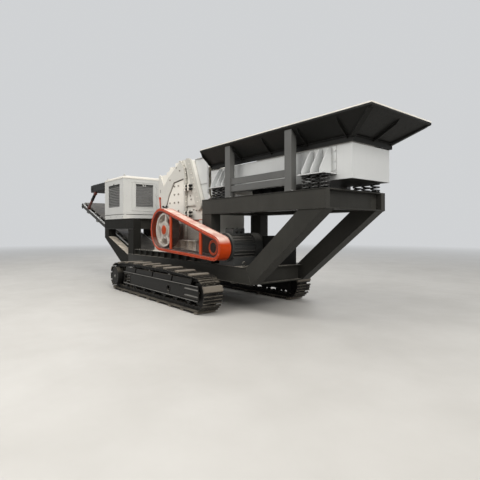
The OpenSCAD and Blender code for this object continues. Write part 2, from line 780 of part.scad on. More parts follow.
module drive_belts() {
    step = 180 / arc_n;
    y0 = pulley_y0 + 8;
    belt_pitch = (pulley_w - 16) / belt_n;
    r1 = (pulley_r + gap) / cos(step);
    r2 = (motor_pulley_r + gap) / cos(step);
    color("#1b1b1a") place() for (i = [0:belt_n - 1])
        along_y(y0 + i * belt_pitch + 4, y0 + (i + 1) * belt_pitch - 4) difference() {
            polygon(belt_outline(-rotor_x, rotor_z, r1 + belt_h, -motor_x, motor_z, r2 + belt_h, arc_n));
            polygon(belt_outline(-rotor_x, rotor_z, r1, -motor_x, motor_z, r2, arc_n));
        }
}

guard_a = [-rotor_x - 114, rotor_z + 12, 505];
guard_b = [-motor_x + 42, motor_z - 10, 243];
guard_t = 10;
guard_bars = [-rotor_x + 381, -motor_x - 422];
guard_bar_w = 80;
guard_bar_d = 30;

module guard_outline(less) {
    polygon(belt_outline(guard_a[0], guard_a[1], guard_a[2] - less, guard_b[0], guard_b[1],
        guard_b[2] - less, 24));
}

module belt_guard() {
    color("#d2542c") place() {
        along_y(-guard_y, -guard_y + guard_d) difference() {
            guard_outline(0);
            guard_outline(guard_t);
        }
        along_y(-guard_y, -guard_y + guard_t) difference() {
            guard_outline(0);
            guard_outline(guard_border);
        }
        along_y(-guard_y - 6, -guard_y) difference() {
            guard_outline(22);
            guard_outline(guard_border - 22);
        }
        along_y(-guard_y, -guard_y + guard_bar_d)
            for (x = guard_bars)
                intersection() {
                    guard_outline(5);
                    translate([x - guard_bar_w / 2, 500]) square([guard_bar_w, 2000]);
                }
        block(-upper_l - 600, -upper_l, -guard_y + guard_d - 8, -half_w + 90, high_z - 122, high_z - 108);
    }
}

module guard_mesh() {
    color("#6b5850") place() along_y(-guard_y + guard_t, -guard_y + guard_t + 4) difference() {
        guard_outline(20);
        for (x = guard_bars)
            translate([x - guard_bar_w / 2 - gap, 500]) square([guard_bar_w + 2 * gap, 2000]);
    }
}

motor_y0 = -half_w - 40;
motor_y1 = -60;
motor_shaft_r = 45;

module motor() {
    fins = 24;
    color("#4b5250") place() difference() {
        union() {
            bar_y(-motor_x, motor_z, motor_r - 30, motor_y0 + 30, motor_y1);
            bar_y(-motor_x, motor_z, motor_r, motor_y0, motor_y0 + 60);
            bar_y(-motor_x, motor_z, motor_r, motor_y1 - 180, motor_y1);
            translate([-motor_x, 0, motor_z]) along_y(motor_y0 + 30, motor_y1 - 60)
                for (i = [0:fins - 1])
                    rotate(i * 360 / fins) translate([motor_r - 50, -4]) square([46, 8]);
            block(-motor_x - 250, -motor_x + 250, motor_y0 + 60, motor_y1 - 60, low_top, motor_z - 200);
            block(-motor_x - 130, -motor_x + 130, motor_y0 + 130, motor_y0 + 430, motor_z + 200,
                motor_z + 370);
        }
        bar_y(-motor_x, motor_z, motor_shaft_r + 2 * gap, motor_y0 - 1, motor_y0 + 80);
    }
}

module motor_pulley() {
    color("#b4552f") place() {
        translate([-motor_x, 0, motor_z]) along_y(pulley_y0, pulley_y0 + pulley_w) difference() {
            circle(r = motor_pulley_r);
            circle(r = motor_shaft_r - 1);
        }
        bar_y(-motor_x, motor_z, motor_shaft_r, pulley_y0 + 20, motor_y0 + 70);
    }
}

// Feeder pan with an open grizzly at the discharge end
floor_t = 25;
grizzly_x0 = -pan_lip + 60;
grizzly_x1 = -pan_lip + 1161;

module feeder_pan() {
    color("#c3c6c6") place() difference() {
        block(-pan_lip, pan_tail, -pan_w / 2, pan_w / 2, pan_z, pan_z + pan_h);
        block(-pan_lip - 1, pan_tail - pan_t, -pan_w / 2 + pan_t, pan_w / 2 - pan_t, pan_z + floor_t,
            pan_z + pan_h + 1);
        block(grizzly_x0, grizzly_x1, -pan_w / 2 + 60, pan_w / 2 - 60, pan_z - 1, pan_z + floor_t + 1);
    }
}

module grizzly_bars() {
    bars = 9;
    span = pan_w - 2 * pan_t - 130;
    color("#77746c") place() for (i = [0:bars - 1])
        let (y = -span / 2 + span * i / (bars - 1))
            along_x(grizzly_x0 - 40, grizzly_x1 + 80) polygon([[y - 15, pan_z + floor_t], [y + 15,
                pan_z + floor_t],
                [y + 25, pan_z + floor_t + 80], [y - 25, pan_z + floor_t + 80]]);
}

bracket_l = 555;
bracket_y = half_w + 13;
spring_xs = [-301, -upper_l + 530];
spring_step = 185;
bracket_t = 15;

module feeder_brackets() {
    pan_y = pan_w / 2;
    color("#c3c6c6") place() both_sides() for (x = spring_xs) {
        block(x - bracket_l / 2, x + bracket_l / 2, -bracket_y, -pan_y, bracket_z - bracket_t, bracket_z);
        block(x - bracket_l / 2, x + bracket_l / 2, -pan_y - 10, -pan_y, bracket_z, bracket_z + 425);
        for (k = [-1:1])
            along_x(x + k * spring_step - 7, x + k * spring_step + 7) polygon([[-pan_y, bracket_z],
                [-bracket_y + 10, bracket_z], [-bracket_y + 10, bracket_z + 50], [-bracket_y + 105,
                    bracket_z + 215],
                [-bracket_y + 170, bracket_z + 330], [-bracket_y + 225, bracket_z + 395], [-pan_y,
                    bracket_z + 425]]);
    }
}

wire_r = 17;
coil_r = 70;
turns = 4.5;

// A coil spring standing on z0, as a tube swept along a helix
module spring(x, y, z0, z1) {
    sides = 6;
    rings = round(turns * 12);
    pts = [for (i = [0:rings], j = [0:sides - 1])
        let (t = 360 * turns * i / rings, a = 360 * (j + 0.5) / sides, r = coil_r + wire_r * cos(a),
            z = z0 + wire_r + (z1 - z0 - 2 * wire_r) * i / rings + wire_r * sin(a))
        [x + r * cos(t), y + r * sin(t), z]];
    quads = [for (i = [0:rings - 1], j = [0:sides - 1])
        let (k = (j + 1) % sides) [i * sides + j, i * sides + k, (i + 1) * sides + k, (i + 1) * sides + j]];
    polyhedron(pts, concat([[for (j = [sides - 1:-1:0]) j]], quads,
        [[for (j = [0:sides - 1]) rings * sides + j]]));
}

module feeder_springs() {
    color("#1d1d1c") place() both_sides() for (x = spring_xs, k = [-1:1])
        spring(x + k * spring_step, -half_w + beam_w / 2, high_top + gap, bracket_z - bracket_t - gap);
}

exciter_x = -pan_lip + 1656;

module exciter() {
    color("#3b3b37") place() {
        block(exciter_x - 375, exciter_x + 375, -380, 380, pan_z - 60, pan_z);
        for (x = [exciter_x - 175, exciter_x + 165])
            bar_y(x, pan_z - 150, 130, -420, 420);
    }
}

// Hopper: a skirt, a flare and an upright rim in section, mitred at the rear corners
skirt_y = pan_w / 2 + 14;
flare_y = pan_w / 2 + side_flare;
skirt_x = pan_tail + 14;
hopper_x0 = -upper_l - 45;
skirt_z = pan_z + pan_h + 10;
cap_h = 20;

function hopper_section(s, f) = [[s, skirt_z], [s + hopper_t, skirt_z], [s + hopper_t, flare_z - 6],
    [f + hopper_t, rim_z - rim_h - 6], [f + hopper_t, rim_z - cap_h], [f, rim_z - cap_h], [f, rim_z - rim_h],
    [s, flare_z]];
function mirror_y(p) = [for (q = p) [-q[0], q[1]]];

module hopper_rib(x) {
    depth = 70;
    run = flare_y - skirt_y;
    rise = rim_z - rim_h - flare_z;
    foot = -skirt_y - hopper_t;
    along_x(x - 6, x + 6) polygon([[foot, flare_z - 6], [foot, flare_z - depth],
        [foot - 0.82 * run, flare_z + 0.82 * rise - depth + 10], [foot - 0.92 * run,
            flare_z + 0.92 * rise - 6]]);
}

module rear_rib() {
    depth = 60;
    foot = skirt_x + hopper_t;
    run = rim_x - foot;
    rise = rim_z - rim_h - flare_z;
    along_y(-6, 6) polygon([[foot, flare_z - 6], [foot, flare_z - depth],
        [foot + 0.76 * run, flare_z + 0.76 * rise - depth + 10], [foot + 0.88 * run,
            flare_z + 0.88 * rise - 6]]);
}

// Flares with their ribs, a ledge along the skirt and a flat bar under each rear corner
module hopper_flares() {
    ledge_w = 30;
    hip_l = norm([rim_x - skirt_x, flare_y - skirt_y]);
    hip_z = rim_z - rim_h - 8;
    hip_w = 84;
    hip_s = (hip_z - flare_z) / hip_l;
    reach = 2000;
    corner = [[skirt_x, -skirt_y], [rim_x, -flare_y]];
    dir = (corner[1] - corner[0]) / norm(corner[1] - corner[0]);
    far_pt = corner[0] + dir * reach;
    back_pt = corner[0] - dir * 400;
    color("#2f2f2c") place() {
        both_sides() {
            intersection() {
                along_x(hopper_x0, rim_x) polygon(mirror_y(hopper_section(skirt_y, flare_y)));
                translate([0, 0, flare_z - 260]) linear_extrude(rim_z - flare_z + 300)
                    polygon([back_pt, far_pt, [hopper_x0 - 10, far_pt[1]], [hopper_x0 - 10, back_pt[1]]]);
            }
            for (x = [hopper_x0 + 6, -2360, -1480, -600, 200])
                hopper_rib(x);
            block(hopper_x0, skirt_x, -skirt_y - hopper_t - ledge_w, -skirt_y, flare_z - 18, flare_z - 10);
            translate([skirt_x, -skirt_y, 0]) rotate(atan2(dir[1], dir[0])) along_y(-hip_w / 2,
                hip_w / 2) polygon([
                [hopper_t - 6, flare_z - 8], [hopper_t - 6, flare_z - 45], [hip_l - 60, hip_z - 84 * hip_s],
                [hip_l - 45, hip_z - 45 * hip_s]]);
        }
        intersection() {
            along_y(-flare_y - 100, flare_y + 100) polygon(hopper_section(skirt_x, rim_x - hopper_t));
            translate([0, 0, flare_z - 260]) linear_extrude(rim_z - flare_z + 300)
                polygon([back_pt, far_pt, [far_pt[0], -far_pt[1]], [back_pt[0], -back_pt[1]]]);
        }
        rear_rib();
        block(skirt_x, skirt_x + hopper_t + ledge_w, -skirt_y, skirt_y, flare_z - 18, flare_z - 10);
    }
}

module hopper_rim() {
    color("#ddd5bd") place() {
        both_sides() block(hopper_x0, rim_x, -flare_y - hopper_t, -flare_y, rim_z - cap_h, rim_z);
        block(rim_x - hopper_t, rim_x, -flare_y, flare_y, rim_z - cap_h, rim_z);
    }
}

post_xs = [-upper_l + 925, -797];

module hopper_posts() {
    y0 = -half_w;
    y1 = -half_w + 120;
    slope = (rim_z - rim_h - flare_z) / (flare_y - skirt_y);
    under = function (y) flare_z - 6 - 2 * gap + slope * (-y - skirt_y - hopper_t);
    color("#6d6d68") place() both_sides() {
        for (x = post_xs)
            along_x(x - hopper_post_l / 2, x + hopper_post_l / 2)
                polygon([[y0, high_top], [y1, high_top], [y1, under(y1)], [y0, under(y0)]]);
        for (z = [high_top + 110, high_top + 252])
            block(post_xs[0] + hopper_post_l / 2, post_xs[1] - hopper_post_l / 2, y0 + 30, y0 + 80, z,
                z + 120);
    }
}

// Power house
house_x1 = -platform_x + 20 + house_l;
house_x0 = house_x1 - house_l;
house_z0 = high_z + skid_h;
house_z1 = house_z0 + house_h;
door_y = -112;
door_z = house_z0 + 110;
door_gap = 6;
louvre_w = 590;
louvre_z0 = door_z + 122;
louvre_z1 = door_z + 842;
side_l = 950;
side_x = (house_x0 + house_x1) / 2 + 20;

module power_house() {
    color("#c9ccc9") place() {
        house_walls();
        for (z = hinge_zs) {
            translate([pin_x, pin_y, z]) {
                cylinder(r = knuckle_r, h = knuckle_h);
                cylinder(r = pin_r, h = 2 * knuckle_h);
            }
            block(house_x1, pin_x, pin_y + 5, pin_y + 45, z, z + knuckle_h);
        }
    }
}

module house_walls() {
    difference() {
        block(house_x0, house_x1, -half_w, half_w, house_z0, house_z1);
        block(house_x0 + house_t, house_x1 - house_t, -half_w + house_t, half_w - house_t,
            house_z0 + house_t, house_z1 + 1);
        block(house_x1 - house_t - 1, house_x1 + 1, door_y - door_w / 2, door_y + door_w / 2, door_z,
            door_z + door_h);
        block(side_x - side_l / 2, side_x + side_l / 2, -half_w - 1, -half_w + house_t + 1, louvre_z0,
            louvre_z1);
    }
}

module house_roof() {
    rise = 130;
    eave = 10;
    color("#d8d6c8") place() intersection() {
        along_y(-half_w - eave, half_w + eave) polygon([[house_x0 - eave, house_z1], [house_x1 + eave,
            house_z1],
            [house_x1 + eave, house_z1 + 40], [house_x1 - 60, house_z1 + 90], [(house_x0 + house_x1) / 2,
                house_z1 + rise],
            [house_x0 + 60, house_z1 + 90], [house_x0 - eave, house_z1 + 40]]);
        along_x(house_x0 - eave, house_x1 + eave) polygon([[-half_w - eave, house_z1], [half_w + eave,
            house_z1],
            [half_w + eave, house_z1 + 40], [half_w - 60, house_z1 + 90], [0, house_z1 + rise + 20],
            [-half_w + 60, house_z1 + 90], [-half_w - eave, house_z1 + 40]]);
    }
}

module house_skid() {
    rail = 90;
    slot = 22;
    color("#d3d4d0") place() {
        both_sides() {
            block(house_x0, house_x1, -half_w, -half_w + rail, high_z, house_z0 - slot);
            block(house_x0, house_x1, -half_w + 35, -half_w + rail, house_z0 - slot, house_z0);
        }
        for (x = [house_x0, house_x1 - rail])
            block(x, x + rail, -half_w + rail, half_w - rail, high_z, house_z0 - slot);
        for (x = [house_x0 + 35, house_x1 - rail])
            block(x, x + rail - 35, -half_w + rail, half_w - rail, house_z0 - slot, house_z0);
    }
}

slat_n = 13;
pin_x = house_x1 + 12;
pin_y = door_y + door_w / 2 - door_gap / 2;
knuckle_r = 10;
pin_r = 5;
knuckle_h = 50;
hinge_zs = [door_z + 120, door_z + door_h / 2, door_z + door_h - 180];

// Louvre blades across an opening of the given width, sloping down and outwards
module blades(w, z0, z1, deep) {
    step = (z1 - z0 - 10) / slat_n;
    for (i = [0:slat_n - 1])
        let (z = z0 + 5 + i * step)
            along_y(-w / 2, w / 2) polygon([[-deep, z + 0.75 * step], [0, z], [0, z + 5], [-deep,
                z + 0.75 * step + 5]]);
}

module end_door() {
    y0 = door_y - door_w / 2 + door_gap;
    y1 = door_y + door_w / 2 - door_gap;
    color("#cfd1ce") place() {
        difference() {
            block(house_x1 - house_t, house_x1, y0, y1, door_z + door_gap, door_z + door_h - door_gap);
            block(house_x1 - house_t - 1, house_x1 + 1, door_y - louvre_w / 2, door_y + louvre_w / 2,
                louvre_z0, louvre_z1);
        }
        for (z = hinge_zs)
            translate([0, 0, z + knuckle_h + gap]) difference() {
                union() {
                    translate([pin_x, pin_y, 0]) cylinder(r = knuckle_r, h = knuckle_h);
                    block(house_x1, pin_x, pin_y - 45, pin_y - 3, 0, knuckle_h);
                }
                translate([pin_x, pin_y, -1]) cylinder(r = pin_r + 0.1, h = knuckle_h + 2);
            }
    }
}

// A louvre panel with its rim, facing X, for an opening of the given width
module louvre(w) {
    rim = 12;
    half = w / 2 - gap;
    deep = house_t - 5;
    difference() {
        block(-deep, 0, -half, half, louvre_z0 + gap, louvre_z1 - gap);
        block(-deep - 1, 1, -half + rim, half - rim, louvre_z0 + rim, louvre_z1 - rim);
    }
    translate([-1, 0, 0]) blades(2 * half - 2 * rim + 8, louvre_z0 + rim, louvre_z1 - rim, deep - 2);
}

module end_louvre() {
    color("#7d817e") place() translate([house_x1 - 5, door_y, 0]) louvre(louvre_w);
}

module side_louvre() {
    color("#7d817e") place() translate([side_x, -half_w + 5, 0]) rotate(-90) louvre(side_l);
}

// Conveyor: level under the crusher, then rising past the power house
conveyor_y = conveyor_w / 2;
belt_z = stringer_z + 60;
axis_z = belt_z - drum_r - belt_t;
head_z = axis_z + (head_x - bend_x) * tan(conveyor_a);
stringer_end_x = head_x - 40;
half_bend = tan(conveyor_a / 2);
tail_drum_x = tail_x + 170;

function climb(x) = (x - bend_x) * tan(conveyor_a);
// A band along the conveyor between two heights over its axis, square to it
function band(x0, x1, lo, hi) = [[-x0, axis_z + lo], [-x0, axis_z + hi], [-bend_x + hi * half_bend,
    axis_z + hi],
    [-x1 + hi * sin(conveyor_a), axis_z + climb(x1) + hi * cos(conveyor_a)],
    [-x1 + lo * sin(conveyor_a), axis_z + climb(x1) + lo * cos(conveyor_a)], [-bend_x + lo * half_bend,
        axis_z + lo]];

module conveyor_frame() {
    top = stringer_z - axis_z;
    color("#3d3e3c") place() {
        both_sides() along_y(-conveyor_y, -conveyor_y + 60) polygon(band(tail_x, stringer_end_x,
            top - stringer_h, top));
        for (x = [3000, 6600])
            block(-x - 40, -x + 40, -in_y, in_y, axis_z - 51, axis_z - 11);
    }
}

module conveyor_belt() {
    r = drum_r + gap;
    o = r + belt_t;
    a = conveyor_a;
    n = 12;
    loop = function (r) concat(
        [for (i = [0:n]) let (t = 270 + 180 * i / n) [-tail_drum_x + r * cos(t), axis_z + r * sin(t)]],
        [[-bend_x + r * half_bend, axis_z + r]],
        [for (i = [0:n]) let (t = 90 - a + 180 * i / n) [-head_x + r * cos(t), head_z + r * sin(t)]],
        [[-bend_x - r * half_bend, axis_z - r]]);
    color("#202020") place() along_y(-belt_w / 2, belt_w / 2) difference() {
        polygon(loop(o));
        polygon(loop(r));
    }
}

module conveyor_drums() {
    n = 12;
    color("#50504c") place() for (p = [[-tail_drum_x, axis_z], [-head_x, head_z]]) {
        bar_y(p[0], p[1], drum_r * cos(90 / n) - gap, -belt_w / 2 - 20, belt_w / 2 + 20);
        bar_y(p[0], p[1], 35, -conveyor_y + 60, conveyor_y - 60);
    }
}

magnet_z = head_z + 450;
magnet_h = 265;
magnet_l = 1630;
magnet_x = -head_x + 1070;

module iron_separator() {
    color("#4c4f50") place() {
        block(magnet_x, magnet_x + magnet_l, -conveyor_y + 17, conveyor_y - 17, magnet_z,
            magnet_z + magnet_h);
    }
}

strut_r = 50;
strut_x = head_x - 740;
strut_reach = 800;

// Struts on eyes, from plates on the stringers to plates under the separator
module separator_struts() {
    plate = 15;
    eye_r = strut_r + 6;
    off = plate + eye_r - 10;
    y = -conveyor_y + 30;
    lift = stringer_z - axis_z + gap;
    foot = [-strut_x + (lift + off) * sin(conveyor_a),
        axis_z + climb(strut_x) + (lift + off) * cos(conveyor_a)];
    head = [-strut_x + strut_reach, magnet_z - gap - off];
    d = head - foot;
    color("#5d2a20") place() both_sides() {
        translate([foot[0], y, foot[1]]) rotate([0, 90 - atan2(d[1], d[0]), 0]) cylinder(r = strut_r,
            h = norm(d));
        for (p = [foot, head])
            bar_y(p[0], p[1], eye_r, y - eye_r, y + eye_r);
        translate([-strut_x, y, axis_z + climb(strut_x)]) rotate([0, conveyor_a, 0])
            translate([-90, -29, lift]) cube([180, 58, plate]);
        block(head[0] - 80, head[0] + 80, y - 29, y + 29, magnet_z - gap - plate, magnet_z - gap);
    }
}

module hydraulic_tank() {
    color("#2f302e") place() block(-motor_x + 222, -motor_x + 652, -20, 560, low_top, low_top + 600);
}

lower_beams();
struts();
upper_beams();
upper_posts();
truss_diagonals();
truss_posts();
platform_beams();
cross_beams();
crusher_rails();
carbody_beams();
track_frame_near();
track_frame_far();
track_chain_near();
track_chain_far();
track_shoes_near();
track_shoes_far();
road_pads_near();
road_pads_far();
drive_sprockets();
idlers();
track_rollers();
crusher_base();
rear_housing();
inlet_housing();
feed_chute();
housing_ties();
rotor_bearings();
rotor_shaft();
rotor();
rotor_pulley();
drive_belts();
belt_guard();
guard_mesh();
motor();
motor_pulley();
feeder_pan();
feeder_brackets();
feeder_springs();
grizzly_bars();
exciter();
hopper_flares();
hopper_rim();
hopper_posts();
power_house();
house_roof();
house_skid();
end_door();
end_louvre();
side_louvre();
conveyor_frame();
conveyor_belt();
conveyor_drums();
iron_separator();
separator_struts();
hydraulic_tank();
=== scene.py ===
import json
import math

import bmesh
import bpy
from mathutils import Matrix, Vector


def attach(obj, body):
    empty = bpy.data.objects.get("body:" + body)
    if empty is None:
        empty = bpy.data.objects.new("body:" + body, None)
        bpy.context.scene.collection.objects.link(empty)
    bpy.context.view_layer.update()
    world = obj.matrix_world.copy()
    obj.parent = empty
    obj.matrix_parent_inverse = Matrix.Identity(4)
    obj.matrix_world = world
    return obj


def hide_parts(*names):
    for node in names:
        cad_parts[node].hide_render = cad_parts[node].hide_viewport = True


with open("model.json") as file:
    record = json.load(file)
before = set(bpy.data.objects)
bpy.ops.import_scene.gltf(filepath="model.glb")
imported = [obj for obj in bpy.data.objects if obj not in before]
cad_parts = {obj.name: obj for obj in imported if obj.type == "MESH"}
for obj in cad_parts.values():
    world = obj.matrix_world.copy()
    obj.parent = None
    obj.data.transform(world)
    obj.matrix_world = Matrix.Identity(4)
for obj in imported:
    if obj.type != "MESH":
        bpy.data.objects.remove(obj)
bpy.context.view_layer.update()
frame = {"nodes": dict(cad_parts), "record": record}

# Offset from the rear end of the upper frame, where the model's sizes count from, to the row frame
SHIFT = 6.12915
# Height of the machine's datum above the ground
RIDE = 0.045


# The photograph's camera: picture side, focal length and horizon in pixels, then place and directions
PICTURE = 480
SENSOR = 36.0
FOCAL = 392.324
HORIZON = 229.069
CAMERA_PLACE = (3.858 + SHIFT, -4.758 - 0.8165, 1.62 + RIDE)
CAMERA_RIGHT = (0.62469, 0.78088, 0)
CAMERA_BACK = (0.78088, -0.62469, 0)
FARTHEST = 200


def make_camera():
    data = bpy.data.cameras.new("camera")
    data.sensor_width = SENSOR
    data.lens = FOCAL / PICTURE * SENSOR
    data.shift_y = -(PICTURE / 2 - HORIZON) / PICTURE
    data.clip_end = FARTHEST
    cam = bpy.data.objects.new("camera", data)
    bpy.context.scene.collection.objects.link(cam)
    m = Matrix((CAMERA_RIGHT, (0, 0, 1), CAMERA_BACK)).transposed().to_4x4()
    m.translation = Vector(CAMERA_PLACE)
    cam.matrix_world = m
    bpy.context.scene.camera = cam


class Nodes:
    """Short names for building a node material."""

    def __init__(self, name):
        self.mat = bpy.data.materials.new(name)
        self.mat.use_nodes = True
        self.tree = self.mat.node_tree
        self.tree.nodes.clear()
        self.out = self.tree.nodes.new("ShaderNodeOutputMaterial")
        self.shader = self.tree.nodes.new("ShaderNodeBsdfPrincipled")
        self.link(self.shader.outputs[0], self.out.inputs[0])
        self.coord = self.tree.nodes.new("ShaderNodeTexCoord").outputs["Object"]

    def link(self, a, b):
        self.tree.links.new(a, b)

    def put(self, socket, value):
        if hasattr(value, "is_output"):
            self.link(value, socket)
        elif hasattr(value, "__len__") and len(value) == 3 and len(socket.default_value) == 4:
            socket.default_value = (*value, 1)
        else:
            socket.default_value = value

    def noise(self, scale, detail, rough=0.55, vector=None):
        n = self.tree.nodes.new("ShaderNodeTexNoise")
        self.put(n.inputs["Vector"], vector or self.coord)
        n.inputs["Scale"].default_value = scale
        n.inputs["Detail"].default_value = detail
        n.inputs["Roughness"].default_value = rough
        return n.outputs["Fac"]

    def stretch(self, sx, sy, sz):
        n = self.tree.nodes.new("ShaderNodeMapping")
        self.link(self.coord, n.inputs["Vector"])
        n.inputs["Scale"].default_value = (sx, sy, sz)
        return n.outputs[0]

    def ramp(self, value, low, high, to_low=0.0, to_high=1.0):
        n = self.tree.nodes.new("ShaderNodeMapRange")
        n.clamp = True
        self.put(n.inputs["Value"], value)
        for key, v in (("From Min", low), ("From Max", high), ("To Min", to_low), ("To Max", to_high)):
            self.put(n.inputs[key], v)
        return n.outputs[0]

    def math(self, op, a, b=0.0):
        n = self.tree.nodes.new("ShaderNodeMath")
        n.operation = op
        self.put(n.inputs[0], a)
        self.put(n.inputs[1], b)
        return n.outputs[0]

    def mix(self, fac, a, b):
        n = self.tree.nodes.new("ShaderNodeMix")
        n.data_type = "RGBA"
        self.put(n.inputs[0], fac)
        self.put(n.inputs[6], a)
        self.put(n.inputs[7], b)
        return n.outputs[2]

    def facing_up(self):
        geo = self.tree.nodes.new("ShaderNodeNewGeometry")
        sep = self.tree.nodes.new("ShaderNodeSeparateXYZ")
        self.link(geo.outputs["Normal"], sep.inputs[0])
        return sep.outputs[2]

    def edges(self, radius):
        """Bevelled normal, and how far it leans from the face's own."""
        bevel = self.tree.nodes.new("ShaderNodeBevel")
        bevel.samples = 4
        bevel.inputs["Radius"].default_value = radius
        geo = self.tree.nodes.new("ShaderNodeNewGeometry")
        dot = self.tree.nodes.new("ShaderNodeVectorMath")
        dot.operation = "DOT_PRODUCT"
        self.link(bevel.outputs[0], dot.inputs[0])
        self.link(geo.outputs["Normal"], dot.inputs[1])
        return bevel.outputs[0], dot.outputs["Value"]

    def off_centre(self):
        """Distance from the centreline, in metres."""
        sep = self.tree.nodes.new("ShaderNodeSeparateXYZ")
        self.link(self.coord, sep.inputs[0])
        return self.math("ABSOLUTE", sep.outputs[1])

    def crevices(self, reach):
        """How shut in a point is by what stands near it."""
        near = self.tree.nodes.new("ShaderNodeAmbientOcclusion")
        near.samples = 4
        near.inputs["Distance"].default_value = reach
        return self.ramp(near.outputs["AO"], 0.25, 0.8, 1.0, 0.0)

    def bump(self, height, strength, distance, normal):
        n = self.tree.nodes.new("ShaderNodeBump")
        n.inputs["Strength"].default_value = strength
        n.inputs["Distance"].default_value = distance
        self.put(n.inputs["Height"], height)
        self.link(normal, n.inputs["Normal"])
        return n.outputs[0]


# How far from the centreline, in metres, ribs and flanges stand out from the housings' walls; past it they
# take a painted shade
PROUD_FROM, PROUD_TO = 0.631, 0.636
PROUD_SPREAD = 1.07
RUN_SHADE = 0.72
# Colour and reach of the crevices' darkening, partly grime and partly painted shade
GRIME_AND_SHADE = (0.085, 0.075, 0.06)
GRIME_AND_SHADE_REACH = 0.055
COAT_ROUGHNESS = 0.15


def paint(name, colour, rough=0.38, dust_and_light=0.25, dust_and_light_colour=(0.42, 0.39, 0.34), wear=0.5,
          worn_colour=(0.30, 0.29, 0.27), edge=0.005, mottle=0.12, wave=0.25,
          metallic=0.0, coat=0.0, spec=0.5, streak=0.35, grime_and_shade=0.0, proud_shade=None):
    """Paint over steel plate: slight waviness, worn edges, dust on what faces up, which on the orange guard
    is a painted sheen and on the truss partly painted light; crevices darkened as grime and painted shade,
    raised plates in a painted shade.
    """
    n = Nodes(name)
    broad = n.noise(1.3, 4)
    fine = n.noise(38.0, 5)
    runs = n.noise(6.0, 4, vector=n.stretch(3.0, 3.0, 0.35))
    light = tuple(min(1.0, c * (1 + mottle)) for c in colour)
    dark = tuple(c * (1 - mottle) for c in colour)
    patches = n.ramp(broad, 0.35, 0.65)
    base = n.mix(patches, dark, light)
    base = n.mix(n.ramp(runs, 0.5, 0.78, 0.0, streak), base, tuple(c * RUN_SHADE for c in colour))
    # Ribs and flanges that stand out from the walls take the darker proud colour, a painted shade
    if proud_shade:
        raised_shade = n.mix(patches, proud_shade, tuple(PROUD_SPREAD * c for c in proud_shade))
        base = n.mix(n.ramp(n.off_centre(), PROUD_FROM, PROUD_TO), base, raised_shade)
    # Crevices darken by ambient occlusion: partly grime, partly painted shade where less light reaches
    if grime_and_shade:
        base = n.mix(n.math("MULTIPLY", n.crevices(GRIME_AND_SHADE_REACH), grime_and_shade), base, GRIME_AND_SHADE)
    normal, flat = n.edges(edge)
    rubbed = n.ramp(flat, 0.72, 0.98, 1.0, 0.0)
    chips = n.math("MULTIPLY", rubbed, n.ramp(n.noise(22.0, 5, 0.7), 0.50, 0.62))
    base = n.mix(n.math("MULTIPLY", chips, wear), base, worn_colour)
    # Dust on faces that point up; on the orange guard it is a painted sheen, on the truss partly painted
    # light
    up = n.ramp(n.facing_up(), 0.35, 0.8)
    dust_and_light_mask = n.math("MULTIPLY", up, n.ramp(n.noise(4.0, 6, 0.65), 0.30, 0.72, 0.25, 1.0))
    base = n.mix(n.math("MULTIPLY", dust_and_light_mask, dust_and_light), base, dust_and_light_colour)
    n.put(n.shader.inputs["Base Color"], base)
    clean = n.ramp(fine, 0.3, 0.7, rough - 0.06, rough + 0.08)
    dull = n.math("MULTIPLY", dust_and_light_mask, 0.35 * dust_and_light + 0.1)
    n.put(n.shader.inputs["Roughness"], n.math("ADD", clean, dull))
    n.shader.inputs["Metallic"].default_value = metallic
    n.shader.inputs["Specular IOR Level"].default_value = spec
    n.shader.inputs["Coat Weight"].default_value = coat
    n.shader.inputs["Coat Roughness"].default_value = COAT_ROUGHNESS
    swell = n.bump(n.noise(2.2, 2), wave, 0.02, normal)
    n.put(n.shader.inputs["Normal"], n.bump(fine, 0.12, 0.0015, swell))
    return n.mat


BEAM = dict(rough=0.42, spec=0.12, dust_and_light=0.8, dust_and_light_colour=(0.33, 0.305, 0.26), wave=0.3)
TRACK = dict(colour=(0.009, 0.0085, 0.0075), rough=0.5, spec=0.2, dust_and_light=0.5,
             dust_and_light_colour=(0.30, 0.265, 0.21), wave=0.1)
CREAM = dict(rough=0.42, dust_and_light=0.15, worn_colour=(0.35, 0.31, 0.26), wear=0.35)
GREY = dict(dust_and_light=0.12, mottle=0.03, wear=0.3, grime_and_shade=0.7)

